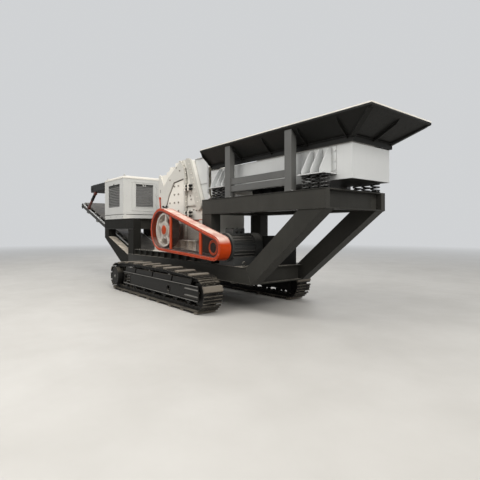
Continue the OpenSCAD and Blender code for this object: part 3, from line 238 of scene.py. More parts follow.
MATERIALS = {
    "frame_steel": dict(colour=(0.032, 0.031, 0.027), **BEAM),
    # A lighter copy of the frame's black for the upper beams: painted light
    "beam_steel": dict(colour=(0.041, 0.0395, 0.0345), **BEAM),
    # A darker copy of the frame's black, painted shade for the truss under the house; its pale top dust is
    # partly dust, partly painted light
    "truss_steel": dict(colour=(0.016, 0.0155, 0.0135), rough=0.55, spec=0.05, dust_and_light=0.9,
                        dust_and_light_colour=(0.78, 0.70, 0.58), wave=0.3),
    "track_steel": dict(worn_colour=(0.15, 0.125, 0.095), wear=0.85, **TRACK),
    "shoe_steel": dict(worn_colour=(0.42, 0.37, 0.30), wear=1.0, edge=0.007, **TRACK),
    "pad_rubber": dict(colour=(0.135, 0.116, 0.09), rough=0.75, dust_and_light=0.3, wear=0.2, wave=0.05),
    "cream_paint": dict(colour=(0.76, 0.73, 0.66), mottle=0.03, streak=0.12, grime_and_shade=0.75, **CREAM),
    # The proud colours paint shade on the housings' raised cheek plates and slanted flanges
    "rear_cream": dict(colour=(0.80, 0.77, 0.70), mottle=0.03, streak=0.08, grime_and_shade=0.6,
                       proud_shade=(0.56, 0.545, 0.50), **CREAM),
    "inlet_cream": dict(colour=(0.66, 0.64, 0.585), mottle=0.04, streak=0.15, grime_and_shade=0.7,
                        proud_shade=(0.45, 0.435, 0.39), **CREAM),
    # A lighter cream, painted light that makes up for the shade inside the guard and behind its mesh
    "wheel_cream": dict(colour=(0.86, 0.81, 0.73), rough=0.4, dust_and_light=0.1, worn_colour=(0.35, 0.31, 0.26),
                        wear=0.3, mottle=0.03, streak=0.08, grime_and_shade=0.35),
    # A darker grey for the liner bolts: painted shade round their heads
    "bolt_grey": dict(colour=(0.27, 0.25, 0.215), rough=0.5, dust_and_light=0.1, wear=0.3, wave=0.0),
    # Colour of the dark lines on the crusher's housings: painted shadow along raised edges and in slots
    "shadow_line_grey": dict(colour=(0.085, 0.08, 0.068), rough=0.6, dust_and_light=0.1, wear=0.0, wave=0.0),
    # Its pale dust on faces that point up is a painted sheen: the glossy guard top's reflection of the
    # bright hall
    "orange_paint": dict(colour=(0.43, 0.043, 0.006), rough=0.32, spec=0.16, coat=0.06, dust_and_light=1.0,
                         dust_and_light_colour=(0.88, 0.77, 0.67), worn_colour=(0.30, 0.07, 0.03), wear=0.5,
                         mottle=0.06, streak=0.15, grime_and_shade=0.6),
    "hub_orange": dict(colour=(0.66, 0.075, 0.01), rough=0.35, spec=0.15, dust_and_light=0.1, wear=0.3,
                       mottle=0.05, wave=0.0),
    "grey_paint": dict(colour=(0.54, 0.55, 0.545), rough=0.38, streak=0.08, wave=0.1, **GREY),
    "house_paint": dict(colour=(0.57, 0.57, 0.545), rough=0.40, streak=0.1, wave=0.08, **GREY),
    "mid_grey_paint": dict(colour=(0.09, 0.09, 0.085), rough=0.36, dust_and_light=0.15, mottle=0.08),
    "dark_paint": dict(colour=(0.007, 0.007, 0.0062), rough=0.5, spec=0.18, dust_and_light=0.25, mottle=0.2),
    "louvre_grey": dict(colour=(0.17, 0.17, 0.165), rough=0.42, dust_and_light=0.35, wear=0.5),
    "motor_grey": dict(colour=(0.028, 0.029, 0.028), rough=0.4, dust_and_light=0.6,
                       dust_and_light_colour=(0.28, 0.26, 0.23), wave=0.05),
    "spring_steel": dict(colour=(0.008, 0.008, 0.008), rough=0.2, dust_and_light=0.2, wear=0.2, wave=0.0),
    "belt_rubber": dict(colour=(0.014, 0.012, 0.012), rough=0.6, dust_and_light=0.35, wear=0.1, wave=0.1),
    "bare_steel": dict(colour=(0.30, 0.29, 0.27), rough=0.35, metallic=0.8, dust_and_light=0.3, wear=0.5, wave=0.1),
    "mesh_steel": dict(colour=(0.07, 0.026, 0.014), rough=0.45, spec=0.15, dust_and_light=0.1, wear=0.2, wave=0.0),
    "red_brown_paint": dict(colour=(0.09, 0.02, 0.013), rough=0.35, dust_and_light=0.2, wear=0.4),
}

# Nodes whose own look differs from the rest of their slot
NODE_LOOKS = {
    "rear_housing": "rear_cream", "inlet_housing": "inlet_cream",
    # The crusher base and rotor pulley take the lighter wheel cream as painted light
    "crusher_base": "wheel_cream", "rotor_pulley": "wheel_cream",
    "end_louvre": "louvre_grey", "side_louvre": "louvre_grey", "motor": "motor_grey",
    # The truss parts take the darker truss steel, a painted shade
    "truss_diagonals": "truss_steel", "truss_posts": "truss_steel", "platform_beams": "truss_steel",
    # The upper beams take the lighter beam steel, painted light
    "upper_beams": "beam_steel",
    "track_shoes_near": "shoe_steel", "track_shoes_far": "shoe_steel",
}

made = {}


def material(name):
    if name not in made:
        made[name] = paint(name, **MATERIALS[name])
    return made[name]


def dress_nodes():
    slots = {s["node"]: s["material_slot"] for s in frame["record"]["subparts"]}
    for node, ob in frame["nodes"].items():
        ob.data.materials.clear()
        ob.data.materials.append(material(NODE_LOOKS.get(node, slots[node])))


class Shape:
    """Vertices and faces of one piece, in millimetres from the rear end of the upper frame."""

    def __init__(self):
        self.verts = []
        self.faces = []

    def add(self, verts, faces):
        first = len(self.verts)
        self.verts += [tuple(v) for v in verts]
        self.faces += [tuple(first + i for i in f) for f in faces]

    def box(self, x0, x1, y0, y1, z0, z1):
        self.add([(x, y, z) for x in (x0, x1) for y in (y0, y1) for z in (z0, z1)],
                 [(0, 1, 3, 2), (4, 6, 7, 5), (0, 4, 5, 1), (2, 3, 7, 6), (0, 2, 6, 4), (1, 5, 7, 3)])

    def loft(self, rings, closed=False):
        n = len(rings[0])
        faces = []
        count = len(rings)
        for i in range(count if closed else count - 1):
            a, b = i * n, (i + 1) % count * n
            faces += [(a + j, a + (j + 1) % n, b + (j + 1) % n, b + j) for j in range(n)]
        if not closed:
            faces += [tuple(range(n - 1, -1, -1)), tuple((count - 1) * n + j for j in range(n))]
        self.add([v for ring in rings for v in ring], faces)

    def prism(self, outline, lo, hi):
        """An outline of (x, z) points drawn out along Y."""
        self.loft([[(x, y, z) for x, z in outline] for y in (lo, hi)])

    def tube(self, path, radius, sides=10):
        """A round bar along a path, kept from twisting."""
        pts = [Vector(p) for p in path]
        rings = []
        side = None
        for i, p in enumerate(pts):
            d = (pts[min(i + 1, len(pts) - 1)] - pts[max(i - 1, 0)]).normalized()
            if side is None:
                side = d.cross(Vector((0, 0, 1)) if abs(d.z) < 0.9 else Vector((1, 0, 0))).normalized()
            else:
                side = (side - d * side.dot(d)).normalized()
            up = d.cross(side)
            rings.append([p + (side * math.cos(a) + up * math.sin(a)) * radius
                          for a in (2 * math.pi * j / sides for j in range(sides))])
        self.loft(rings)

    def turned(self, centre, axis, profile, sides):
        """A solid of revolution from (radius, height) pairs along an axis."""
        axis = Vector(axis).normalized()
        side = axis.cross(Vector((0, 0, 1)) if abs(axis.z) < 0.9 else Vector((1, 0, 0))).normalized()
        up = axis.cross(side)
        c = Vector(centre)
        self.loft([[c + axis * h + (side * math.cos(a) + up * math.sin(a)) * max(r, 0.01)
                    for a in (2 * math.pi * j / sides for j in range(sides))] for r, h in profile])

    def ring(self, centre, axis, profile, sides):
        """A hoop of revolution whose closed section is given as (radius, height) pairs."""
        self.turned(centre, axis, profile, sides)
        self.faces = self.faces[:-2]
        start = len(self.verts) - len(profile) * sides
        last = len(self.verts) - sides
        self.faces += [(last + j, last + (j + 1) % sides, start + (j + 1) % sides, start + j)
                       for j in range(sides)]

    def bolt(self, place, axis, across, washer=True):
        """A hexagon head on a washer; place is on the surface and axis points away from it."""
        r = across / 2 / math.cos(math.pi / 6)
        base = 0.0
        if washer:
            self.turned(place, axis, [(r * 1.25, -1), (r * 1.25, across * 0.13)], 16)
            base = across * 0.13
        h = base + across * 0.62
        self.turned(place, axis, [(r, base - 1), (r, h - across * 0.08), (r * 0.86, h)], 6)

    def bolt_circle(self, centre, axis, radius, count, first, across, washer=True):
        """Bolts on a circle about an axle along Y; first is the first one's angle in degrees."""
        x, y, z = centre
        for k in range(count):
            a = math.radians(360 / count * k + first)
            self.bolt((x + radius * math.cos(a), y, z + radius * math.sin(a)), axis, across, washer)


def piece(name, shape, slot, body="plant", smooth=None, look=None, base=RIDE):
    """An object from a Shape, moved to the row frame and turned to metres."""
    mesh = bpy.data.meshes.new(name)
    verts = [(x / 1000 + SHIFT, y / 1000, z / 1000 + base) for x, y, z in shape.verts]
    mesh.from_pydata(verts, [], shape.faces)
    bm = bmesh.new()
    bm.from_mesh(mesh)
    bmesh.ops.recalc_face_normals(bm, faces=bm.faces)
    bm.to_mesh(mesh)
    bm.free()
    ob = bpy.data.objects.new(name, mesh)
    bpy.context.scene.collection.objects.link(ob)
    if smooth:
        mesh.shade_smooth()
        mesh.set_sharp_from_angle(angle=math.radians(smooth))
    mesh.materials.append(look or material(slot))
    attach(ob, body)
    return ob


# Half width of the frame, and the heights of its lower and upper beams
HALF = 820.0
LOW, LOW_TOP = 560.0, 880.0
HIGH, HIGH_TOP = 1940.0, 2260.0
# Axles of the rotor and of the motor
ROTOR = (-4616.0, 1600.0)
MOTOR = (-2552.0, 1250.0)
# Outside of the crusher's side plates
WALL = 620.0
SIDES = (-1, 1)
NEAR = (0, -1, 0)
FAR = (0, 1, 0)
# The feeder's springs stand in groups of three
SPRING_XS = (-301, -2890)
SPRING_STEP = 185


def hoop(x, y, z, radius, steps):
    """A closed circle of points that faces along Y."""
    return [(x + radius * math.cos(t), y, z + radius * math.sin(t))
            for t in (2 * math.pi * i / steps for i in range(steps + 1))]


def coil_springs():
    """Round springs with closed ends and seats, in place of the faceted ones."""
    coils, seats = Shape(), Shape()
    z0, z1, wire, radius = 2261.0, 2489.0, 17.0, 70.0
    steps, turns = 108, 4.5
    flat_end, flat_rise = 0.12, 3
    seat = [(95, 0), (95, 7), (50, 9), (46, 26), (20, 28)]
    for side in SIDES:
        for x0 in SPRING_XS:
            for k in (-1, 0, 1):
                x, y = x0 + SPRING_STEP * k, side * 700.0
                path = []
                for i in range(steps + 1):
                    t = i / steps
                    a = 2 * math.pi * turns * t
                    climb = min(max((t - flat_end) / (1 - 2 * flat_end), 0.0), 1.0)
                    z = z0 + wire + (z1 - z0 - 2 * wire) * climb + flat_rise * (t - 0.5)
                    path.append((x + radius * math.cos(a), y + radius * math.sin(a), z))
                coils.tube(path, wire - 1, 10)
                seats.turned((x, y, z0), (0, 0, 1), seat, 24)
                seats.turned((x, y, z1 + 1), (0, 0, -1), seat, 24)
    ob = piece("feeder_coils", coils, "spring_steel", smooth=60)
    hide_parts("feeder_springs")
    piece("spring_seats", seats, "dark_paint", smooth=40)


# The belt guard's two round ends (x, z, radius), its upright bars and its front
GUARD_A = (ROTOR[0] - 114, ROTOR[1] + 12, 505.0)
GUARD_B = (MOTOR[0] + 42, MOTOR[1] - 10, 243.0)
GUARD_BARS = (-4235.0, -2974.0)
GUARD_FACE = -1166.0
# Front of both pulleys
PULLEY_FACE = -1130.0
# The field that the guard's mesh is cut from
MESH_X = (-5300.0, -2200.0)
MESH_Z = (900.0, 2150.0)


def belt_outline(a, b, less=0.0, n=24):
    """Outline of a belt round the circles a and b, each made smaller by less."""
    ax, az, ar = a[0], a[1], a[2] - less
    bx, bz, br = b[0], b[1], b[2] - less
    d = math.hypot(bx - ax, bz - az)
    turn = math.atan2(bz - az, bx - ax)
    w = math.acos((ar - br) / d)
    pts = [(ax + ar * math.cos(t), az + ar * math.sin(t))
           for t in (turn + w + (2 * math.pi - 2 * w) * i / n for i in range(n + 1))]
    return pts + [(bx + br * math.cos(t), bz + br * math.sin(t))
                  for t in (turn - w + 2 * w * i / n for i in range(n + 1))]


def inside(p, outline):
    """Whether a point lies within a closed outline."""
    hit = False
    for (x0, z0), (x1, z1) in zip(outline, outline[1:] + outline[:1]):
        if (z0 > p[1]) != (z1 > p[1]) and p[0] < (x1 - x0) * (p[1] - z0) / (z1 - z0) + x0:
            hit = not hit
    return hit


def expanded_mesh():
    """Expanded metal in the guard: rows of zigzag strands that meet at their tips."""
    mesh = Shape()
    outline = belt_outline(GUARD_A, GUARD_B, 40)
    half, rise, wide, thick = 27.0, 19.0, 1.2, 2.0
    bar_clear = 36
    y0 = GUARD_FACE + 10.5
    section = ((1, y0), (1, y0 + thick), (-1, y0 + thick), (-1, y0))
    row = 0
    z = MESH_Z[0]
    while z < MESH_Z[1]:
        x = MESH_X[0]
        i = 0
        while x < MESH_X[1]:
            up = (i + row) % 2
            p = (x, z + (rise if up else 0))
            q = (x + half, z + (0 if up else rise))
            mid = (p[0] + q[0]) / 2
            clear = all(abs(mid - bar) > bar_clear for bar in GUARD_BARS)
            if inside(p, outline) and inside(q, outline) and clear:
                dx, dz = q[0] - p[0], q[1] - p[1]
                n = math.hypot(dx, dz)
                ox, oz = -dz / n * wide, dx / n * wide
                mesh.loft([[(c[0] + s * ox, y, c[1] + s * oz) for s, y in section] for c in (p, q)])
            x += half
            i += 1
        z += rise
        row += 1
    ob = piece("expanded_mesh", mesh, "mesh_steel")
    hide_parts("guard_mesh")


def guard_details():
    bolts, beads, shade_strip, back, shelf = Shape(), Shape(), Shape(), Shape(), Shape()
    ring = belt_outline(GUARD_A, GUARD_B, 12, 40)
    for p, d in along(ring + ring[:1], 230):
        bolts.bolt((p[0], GUARD_FACE, p[1]), NEAR, 20)
    piece("guard_bolts", bolts, "orange_paint")
    edge = belt_outline(GUARD_A, GUARD_B, -4.0, 60)
    for y in (GUARD_FACE + 4, GUARD_FACE + 263):
        beads.tube([(x, y, z) for x, z in edge + edge[:1]], 5, 6)
    piece("guard_beads", beads, "orange_paint", smooth=60)
    # A dark red-brown strip round the inner edge of the guard's border: painted shade under the border's
    # step
    outer = belt_outline(GUARD_A, GUARD_B, 56, 40)
    inner = belt_outline(GUARD_A, GUARD_B, 76, 40)
    y0, y1 = GUARD_FACE - 0.8, GUARD_FACE + 9
    shade_strip.loft([[(a[0], y0, a[1]), (b[0], y0, b[1]), (b[0], y1, b[1]), (a[0], y1, a[1])]
                 for a, b in zip(outer, inner)], closed=True)
    piece("guard_shade_strip", shade_strip, "red_brown_paint")
    # A dark plate behind the big pulley, seen between its spokes: painted shade for the dark behind the
    # wheel
    plate = [(418, 198), (418, 202), (155, 202), (155, 198)]
    back.ring((ROTOR[0], PULLEY_FACE, ROTOR[1]), FAR, plate, 72)
    piece("guard_shade_plate", back, "red_brown_paint")
    shelf.box(-4020, -3420.4, -907, -899, 1784, 1832)
    shelf.box(-4020, -3424, -899, -880, 1784, 1790)
    piece("shelf_lip", shelf, "red_brown_paint")


def pulley_details():
    """Raised rings, bolts and caps on the pulleys; they turn with their own bodies."""
    cap, rings, tread, ring, hub = Shape(), Shape(), Shape(), Shape(), Shape()
    y = PULLEY_FACE
    x, z = ROTOR
    cap_profile = [(112, 21), (112, 7), (106, 4), (58, 4), (52, 0), (10, 0)]
    hub_ring = [(214, -8), (214, -2), (208, 0), (162, 0), (158, -3), (158, -8)]
    rim_ring = [(404, -4), (404, 0), (399, 3), (366, 3), (361, 0), (361, -4)]
    cap.turned((x, y - 13, z), FAR, cap_profile, 48)
    cap.bolt_circle((x, y - 8, z), NEAR, 84, 6, 10, 16, False)
    rings.ring((x, y + 24, z), NEAR, hub_ring, 48)
    rings.bolt_circle((x, y + 24, z), NEAR, 185, 10, 0, 18, False)
    rings.ring((x, y + 1, z), NEAR, rim_ring, 64)
    piece("pulley_cap", cap, "orange_paint", body="rotor_body", smooth=35, look=material("hub_orange"))
    piece("pulley_rings", rings, "cream_paint", body="rotor_body", smooth=35, look=material("wheel_cream"))
    tread.ring((x, y, z), FAR, [(405.2, 1), (405.2, 189), (404, 189), (404, 1)], 96)
    piece("pulley_tread", tread, "belt_rubber", body="rotor_body", smooth=35)
    x, z = MOTOR
    ring.ring((x, y, z), NEAR, [(157, -4), (157, 0), (152, 4), (112, 4), (106, 0), (106, -4)], 48)
    piece("motor_pulley_ring", ring, "orange_paint", body="motor_drive", smooth=35)
    hub.turned((x, y, z), NEAR, [(105, -6), (105, 1), (60, 2), (56, 8), (44, 10), (10, 10)], 40)
    hub.bolt_circle((x, y - 1, z), NEAR, 80, 4, 20, 18, False)
    piece("motor_pulley_hub", hub, "dark_paint", body="motor_drive", smooth=35)


# Where the crusher's housing is split, and the path of the split over its top
SPLIT = -4425.0
SPLIT_PTS = [(SPLIT, 1400.0), (SPLIT, 2820.0), (SPLIT - 10, 2940.0), (SPLIT - 64, 3109.0),
             (SPLIT - 255, 3311.0)]
LINER_XS = (-5239, -5004, -4800)
LINER_ZS = (1480, 1668, 1872, 2080, 2290, 2497, 2706)
# No liner bolt comes closer than this to the rotor's axle
BEARING_CLEAR = 240


def along(path, step, start=0.0):
    """Points every step along a path, with the direction of the path there."""
    out = []
    run = start
    for p, q in zip(path, path[1:]):
        length = math.dist(p, q)
        if length < 1e-6:
            continue
        d = [(b - a) / length for a, b in zip(p, q)]
        while run < length:
            out.append((tuple(a + run * k for a, k in zip(p, d)), d))
            run += step
        run -= length
    return out


def slant_x(z):
    """The crusher's slanted flange at height z."""
    return -3690.0 - 475.0 * (z - 2150.0) / 1115.0


def crusher_side(side, heads, dark, shadow_lines, liner):
    wall = side * WALL
    out = (0, side, 0)
    for x in LINER_XS:
        for z in LINER_ZS:
            corner = z > 2450 and x < -5200
            if not corner and math.hypot(x - ROTOR[0], z - ROTOR[1]) >= BEARING_CLEAR:
                liner.bolt((x, wall, z), out, 34)
    for z in (2080, 2290):
        liner.bolt((-5420, wall, z), out, 34)
    for x, z in ((-4200, 2330), (-4080, 2080), (-3960, 2060), (-3840, 2060), (-4240, 2060), (-4240, 2420)):
        liner.bolt((x, wall, z), out, 30)
    for x, z in ((-5181, 2880), (-4690, 3071)):
        liner.bolt((x, wall + side * 30, z), out, 30)
    # A dark prism in the wall's slot and a dark oblong on the cheek: painted shade inside openings
    gap = [(-5540, 2775), (-5520, 2765), (-5295, 2952), (-5318, 2978)]
    shadow_lines.prism(gap, wall - side * 3, wall - side * 12)
    eye = [(-5718 + 13 * math.cos(t), 2630 + (33 if math.sin(t) > 0 else -33) + 13 * math.sin(t))
           for t in (2 * math.pi * (i + 0.5) / 20 for i in range(20))]
    shadow_lines.prism(eye, wall + side * 29, wall + side * 31)
    dark.box(-5565, -5330, *sorted((wall + side * 30, wall + side * 52)), 2188, 2206)
    for x in (-5548, -5350):
        dark.bolt((x, wall + side * 41, 2206), (0, 0, 1), 40)
    for p, d in along(SPLIT_PTS, 118, 60):
        for flange in SIDES:
            heads.bolt((p[0] + flange * 36, wall + side * 36, p[1]), (flange, 0, 0), 26)
    for p, d in along([(slant_x(z) - 70, z) for z in (2230.0, 3240.0)], 125, 20):
        heads.bolt((p[0], wall + side * 60, p[1]), out, 24)
    bearing = side * (WALL + 170)
    cover = [(132, 0), (132, 10), (126, 14), (86, 14), (82, 8)]
    dark.turned((ROTOR[0], bearing - side * 2, ROTOR[1]), out, cover, 40)
    dark.bolt_circle((ROTOR[0], bearing + side * 10, ROTOR[1]), out, 108, 8, 22, 22)
    for x in (-112, 112):
        dark.bolt((ROTOR[0] + x, side * (WALL + 80), 1541), (0, 0, 1), 30)
    # Dark lines along the split, the cheek's lower edge, the slanted flange's edge and the split's top:
    # partly joints, mostly painted shadow under raised edges
    for radius, sides, path in (
            (4, 6, ((SPLIT + 38, 1384), (SPLIT + 38, 2820))),
            (10, 8, ((-5472, 2100), (-5272, 2486), (-5011, 2798), (-4623, 2843), (-4469, 2870))),
            (9, 8, ((slant_x(2200) - 224, 2200), (slant_x(3190) - 224, 3190))),
            (10, 8, ((SPLIT + 42, 2830), (SPLIT + 32, 2940), (SPLIT - 22, 3109)))):
        shadow_lines.tube([(x, wall, z) for x, z in path], radius, sides)
    for x in (-5900 + 70, -3720 - 70, -5150, -4430):
        heads.bolt((x, side * 750, 1055), (0, 0, 1), 36)
    for i in range(8):
        heads.bolt((-5800 + 280 * i, side * 735, 1360), (0, 0, 1), 26)


def crusher_details():
    heads, dark, shadow_lines, liner, lugs, rod = Shape(), Shape(), Shape(), Shape(), Shape(), Shape()
    for side in SIDES:
        crusher_side(side, heads, dark, shadow_lines, liner)
    for x in (-5330, -5010):
        for y in (-420, -210, 0, 210, 420):
            heads.bolt((x, y, 3240 + (x + 5330) * 0.25), (0, 0, 1), 32)
    piece("housing_bolts", heads, "cream_paint", smooth=30)
    piece("dark_bolts", dark, "dark_paint", smooth=30)
    piece("housing_shadow_lines", shadow_lines, "cream_paint", smooth=60, look=material("shadow_line_grey"))
    # The liner bolts are painted darker to stand for the shade round them
    piece("liner_bolts", liner, "cream_paint", smooth=30, look=material("bolt_grey"))
    for y in (-430, 430):
        arch = [(-5640 + 62 * math.cos(t), 3052 + 70 * math.sin(t))
                for t in (math.pi * i / 12 for i in range(13))]
        lugs.prism(arch, y - 12, y + 12)
        lugs.tube(hoop(-4140, y, 3290, 44, 20), 11, 8)
        lugs.box(-4156, -4124, y - 14, y + 14, 3236, 3258)
    piece("lifting_lugs", lugs, "cream_paint", smooth=40)
    rod.tube([(-5686, -668, 2130), (-5690, -670, 2205), (-5706, -672, 2330), (-5721, -672, 2450)], 14, 12)
    rod.turned((-5686, -650, 2130), NEAR, [(34, -2), (34, 34)], 20)
    rod.turned((-5721, -650, 2450), NEAR, [(30, -2), (30, 34)], 20)
    piece("orange_rod", rod, "orange_paint", smooth=40)


def tie_details():
    """Threaded rods, nuts and bolts of the ties between the two housings."""
    rods, nuts = Shape(), Shape()
    x0, x1 = SPLIT + 50, -4145.3
    blocks = ((x0 + 20, x0 + 75), (x1 - 55, x1))
    for side in SIDES:
        y = side * 700.3
        for z in (1975, 2610):
            for k in (-42, 42):
                for a, b in ((x0 - 4, x0 + 19.6), (x0 + 75.4, x1 - 55.4), (x1 + 0.4, x1 + 104)):
                    rod = [(20.5, 0), (21.5, 2), (21.5, b - a - 2), (20.5, b - a)]
                    rods.turned((a, y, z + k), (1, 0, 0), rod, 16)
                for x in (x0 + 4, x0 + 75.5, x1 - 71, x1 + 0.5):
                    rods.turned((x, y, z + k), (1, 0, 0), [(33, 0), (33, 15)], 6)
                rods.turned((x1 + 16, y, z + k), (1, 0, 0), [(32, 0), (32, 14)], 6)
            for a, b in blocks:
                nuts.bolt(((a + b) / 2, side * 734.3, z), (0, side, 0), 26)
                nuts.tube([(a, side * 622, z - 77), (b, side * 622, z - 77)], 5, 6)
                nuts.tube([(a, side * 622, z + 77), (b, side * 622, z + 77)], 5, 6)
    piece("tie_rods", rods, "dark_paint", smooth=35)
    piece("tie_bolts", nuts, "cream_paint", smooth=30)


# Crawler chain: the pins of the links, worked out as the model does
PITCH, SHOES, PHASE, PAD = 174.5, 57, 0.6, 1
PAD_OFF = 100.0
SPROCKET_R = 10 * PITCH / (2 * math.pi)
IDLER_R = 280.0
IDLER_X = 2665.0
SPROCKET_X = IDLER_X + (SHOES * PITCH - math.pi * (SPROCKET_R + IDLER_R)) / 2 - 4
SPROCKET_Z = PAD_OFF + SPROCKET_R
IDLER_Z = PAD_OFF + IDLER_R
GAUGE = 2550.0
CARRIER_PATH = 60 + 42 + 3
CARRIER_Z = PAD_OFF + 2 * SPROCKET_R + 70 - CARRIER_PATH
CARRIERS = [-IDLER_X - d for d in (1215, 2185, 3185)]


def chain_pins():
    wheels = [(-SPROCKET_X, SPROCKET_Z, SPROCKET_R), (-IDLER_X, IDLER_Z, IDLER_R)]
    wheels += [(x, CARRIER_Z, CARRIER_PATH) for x in CARRIERS]

    def tangent(a, b):
        dx, dz = b[0] - a[0], b[1] - a[1]
        t = math.degrees(math.atan2(dz, dx) - math.acos((a[2] - b[2]) / math.hypot(dx, dz)))
        return t + 360 if t < -90.01 else t

    def arc(w, a0, a1, n):
        return [(w[0] + w[2] * math.cos(math.radians(a0 + (a1 - a0) * i / n)),
                 w[1] + w[2] * math.sin(math.radians(a0 + (a1 - a0) * i / n))) for i in range(n + 1)]

    t = [tangent(wheels[i], wheels[(i + 1) % 5]) for i in range(1, 5)]
    path = arc(wheels[0], 180, 270, 30) + arc(wheels[1], -90, t[0], 60)
    for i in (2, 3, 4):
        path += arc(wheels[i], t[i - 2], t[i - 1], 2)
    path += arc(wheels[0], t[3], 180, 30)
    total = sum(math.dist(p, q) for p, q in zip(path, path[1:]))
    step = total / SHOES
    pins = along(path + path[1:2], step, PHASE * step)
    return [p for p, d in pins][:SHOES]


# Bolts of a plate: their places across it, how far they stand from its middle, and their heads
PAD_BOLTS = ((-150, -50, 50, 150), 74, [(11, -1), (11, 7), (9, 9)])
SHOE_BOLTS = ((-112, -57, 57, 112), 34, [(14, -1), (14, 9), (11, 12)])


def chain_details(side, tag, pins):
    bolts, ends = Shape(), Shape()
    yc = side * GAUGE / 2
    for i in range(SHOES):
        p, q = pins[i], pins[(i + 1) % SHOES]
        d = math.dist(p, q)
        t = ((q[0] - p[0]) / d, (q[1] - p[1]) / d)
        n = (t[1], -t[0])
        middle = ((p[0] + q[0]) / 2, (p[1] + q[1]) / 2)
        for rail in SIDES:
            ends.turned((p[0], yc + rail * 106, p[1]), (0, rail, 0), [(26, 0), (26, 5), (21, 8), (8, 8)], 12)
        ys, reach, head = PAD_BOLTS if i % 3 == PAD else SHOE_BOLTS
        for y in ys:
            for s in SIDES:
                c = [m + t[k] * s * reach + n[k] * 60 for k, m in enumerate(middle)]
                bolts.turned((c[0], yc + y, c[1]), (n[0], 0, n[1]), head, 6)
    piece("shoe_bolts_" + tag, bolts, "track_steel", base=0)
    piece("pin_ends_" + tag, ends, "track_steel", smooth=40, base=0)


def crawler_details(side, tag):
    trim, steel = Shape(), Shape()
    yc = side * GAUGE / 2
    face = side * (GAUGE / 2 + 225)
    plate = side * (GAUGE / 2 + 170)
    out = (0, side, 0)
    x, z = -SPROCKET_X, SPROCKET_Z
    drum = [(239, -6), (239, 0), (232, 4), (178, 4), (172, 1), (120, 1), (112, 7), (64, 7), (58, 2), (40, 2)]
    trim.turned((x, face - side * 3, z), out, drum, 48)
    trim.bolt_circle((x, face - side * 9, z), out, 205, 16, 8, 24)
    trim.bolt_circle((x, face - side * 8, z), out, 145, 8, 0, 20)
    steel.turned((x, face, z), out, [(36, 0), (36, 5), (30, 9), (8, 9)], 24)
    # The track frame's side plate: bolts, ledge, round hole and slots
    frame_x0, frame_x1 = -SPROCKET_X + 506, -IDLER_X + 70
    for x in (frame_x0 + 520, frame_x0 + 1150, frame_x0 + 2450, frame_x0 + 2950):
        for z in (262, 510):
            trim.bolt((x, plate, z), out, 26)
    x0, x1 = -IDLER_X - 560, -IDLER_X + 45
    trim.prism([(x0, 290), (x0, 300), (x1, 300), (x1, 290)], plate - side * 1, plate + side * 9)
    trim.tube(hoop(frame_x1 - 1205, plate + side * 3, 380, 68, 32), 7, 8)
    for z in (466, 333):
        steel.box(frame_x1 - 542, frame_x1 - 28, plate - side * 16, plate - side * 9, z - 10, z + 10)
        steel.tube([(x, plate - side * 2, z - 11) for x in (frame_x1 - 540, frame_x1 - 30)], 6, 8)
    # Its oblong opening, with the rods seen in it
    x0, x1, z0, z1 = frame_x0 + 30, frame_x0 + 395, 258, 480
    rim = [(x0, z0), (x1, z0), (x1, z1), (x0, z1), (x0, z0)]
    trim.tube([(x, plate + side * 2, z) for x, z in rim], 7, 8)
    for z in (300, 345, 390, 435):
        steel.tube([(x0 + 30, plate - side * 60, z), (x1 - 120, plate - side * 60, z)], 10, 8)
    carrier = [(59.5, 0), (59.5, 44), (66, 46), (66, 58), (30, 60)]
    for x in CARRIERS:
        steel.turned((x, yc + side * 60, CARRIER_Z), out, carrier, 28)
        trim.bolt((x, side * (GAUGE / 2 + 122), CARRIER_Z), out, 36)
    for z in (235 + 16, 540):
        steel.tube([(frame_x0, plate + side * 20, z), (frame_x1, plate + side * 20, z)], 6, 6)
    piece("track_trim_" + tag, trim, "track_steel", smooth=35, base=0)
    piece("track_bright_" + tag, steel, "bare_steel", smooth=35, base=0)


def track_details():
    pins = chain_pins()
    for side, tag in zip(SIDES, ("near", "far")):
        chain_details(side, tag, pins)
        crawler_details(side, tag)


STRUT_SLOPE = math.atan2(1380, 1737)
EDGE = 12


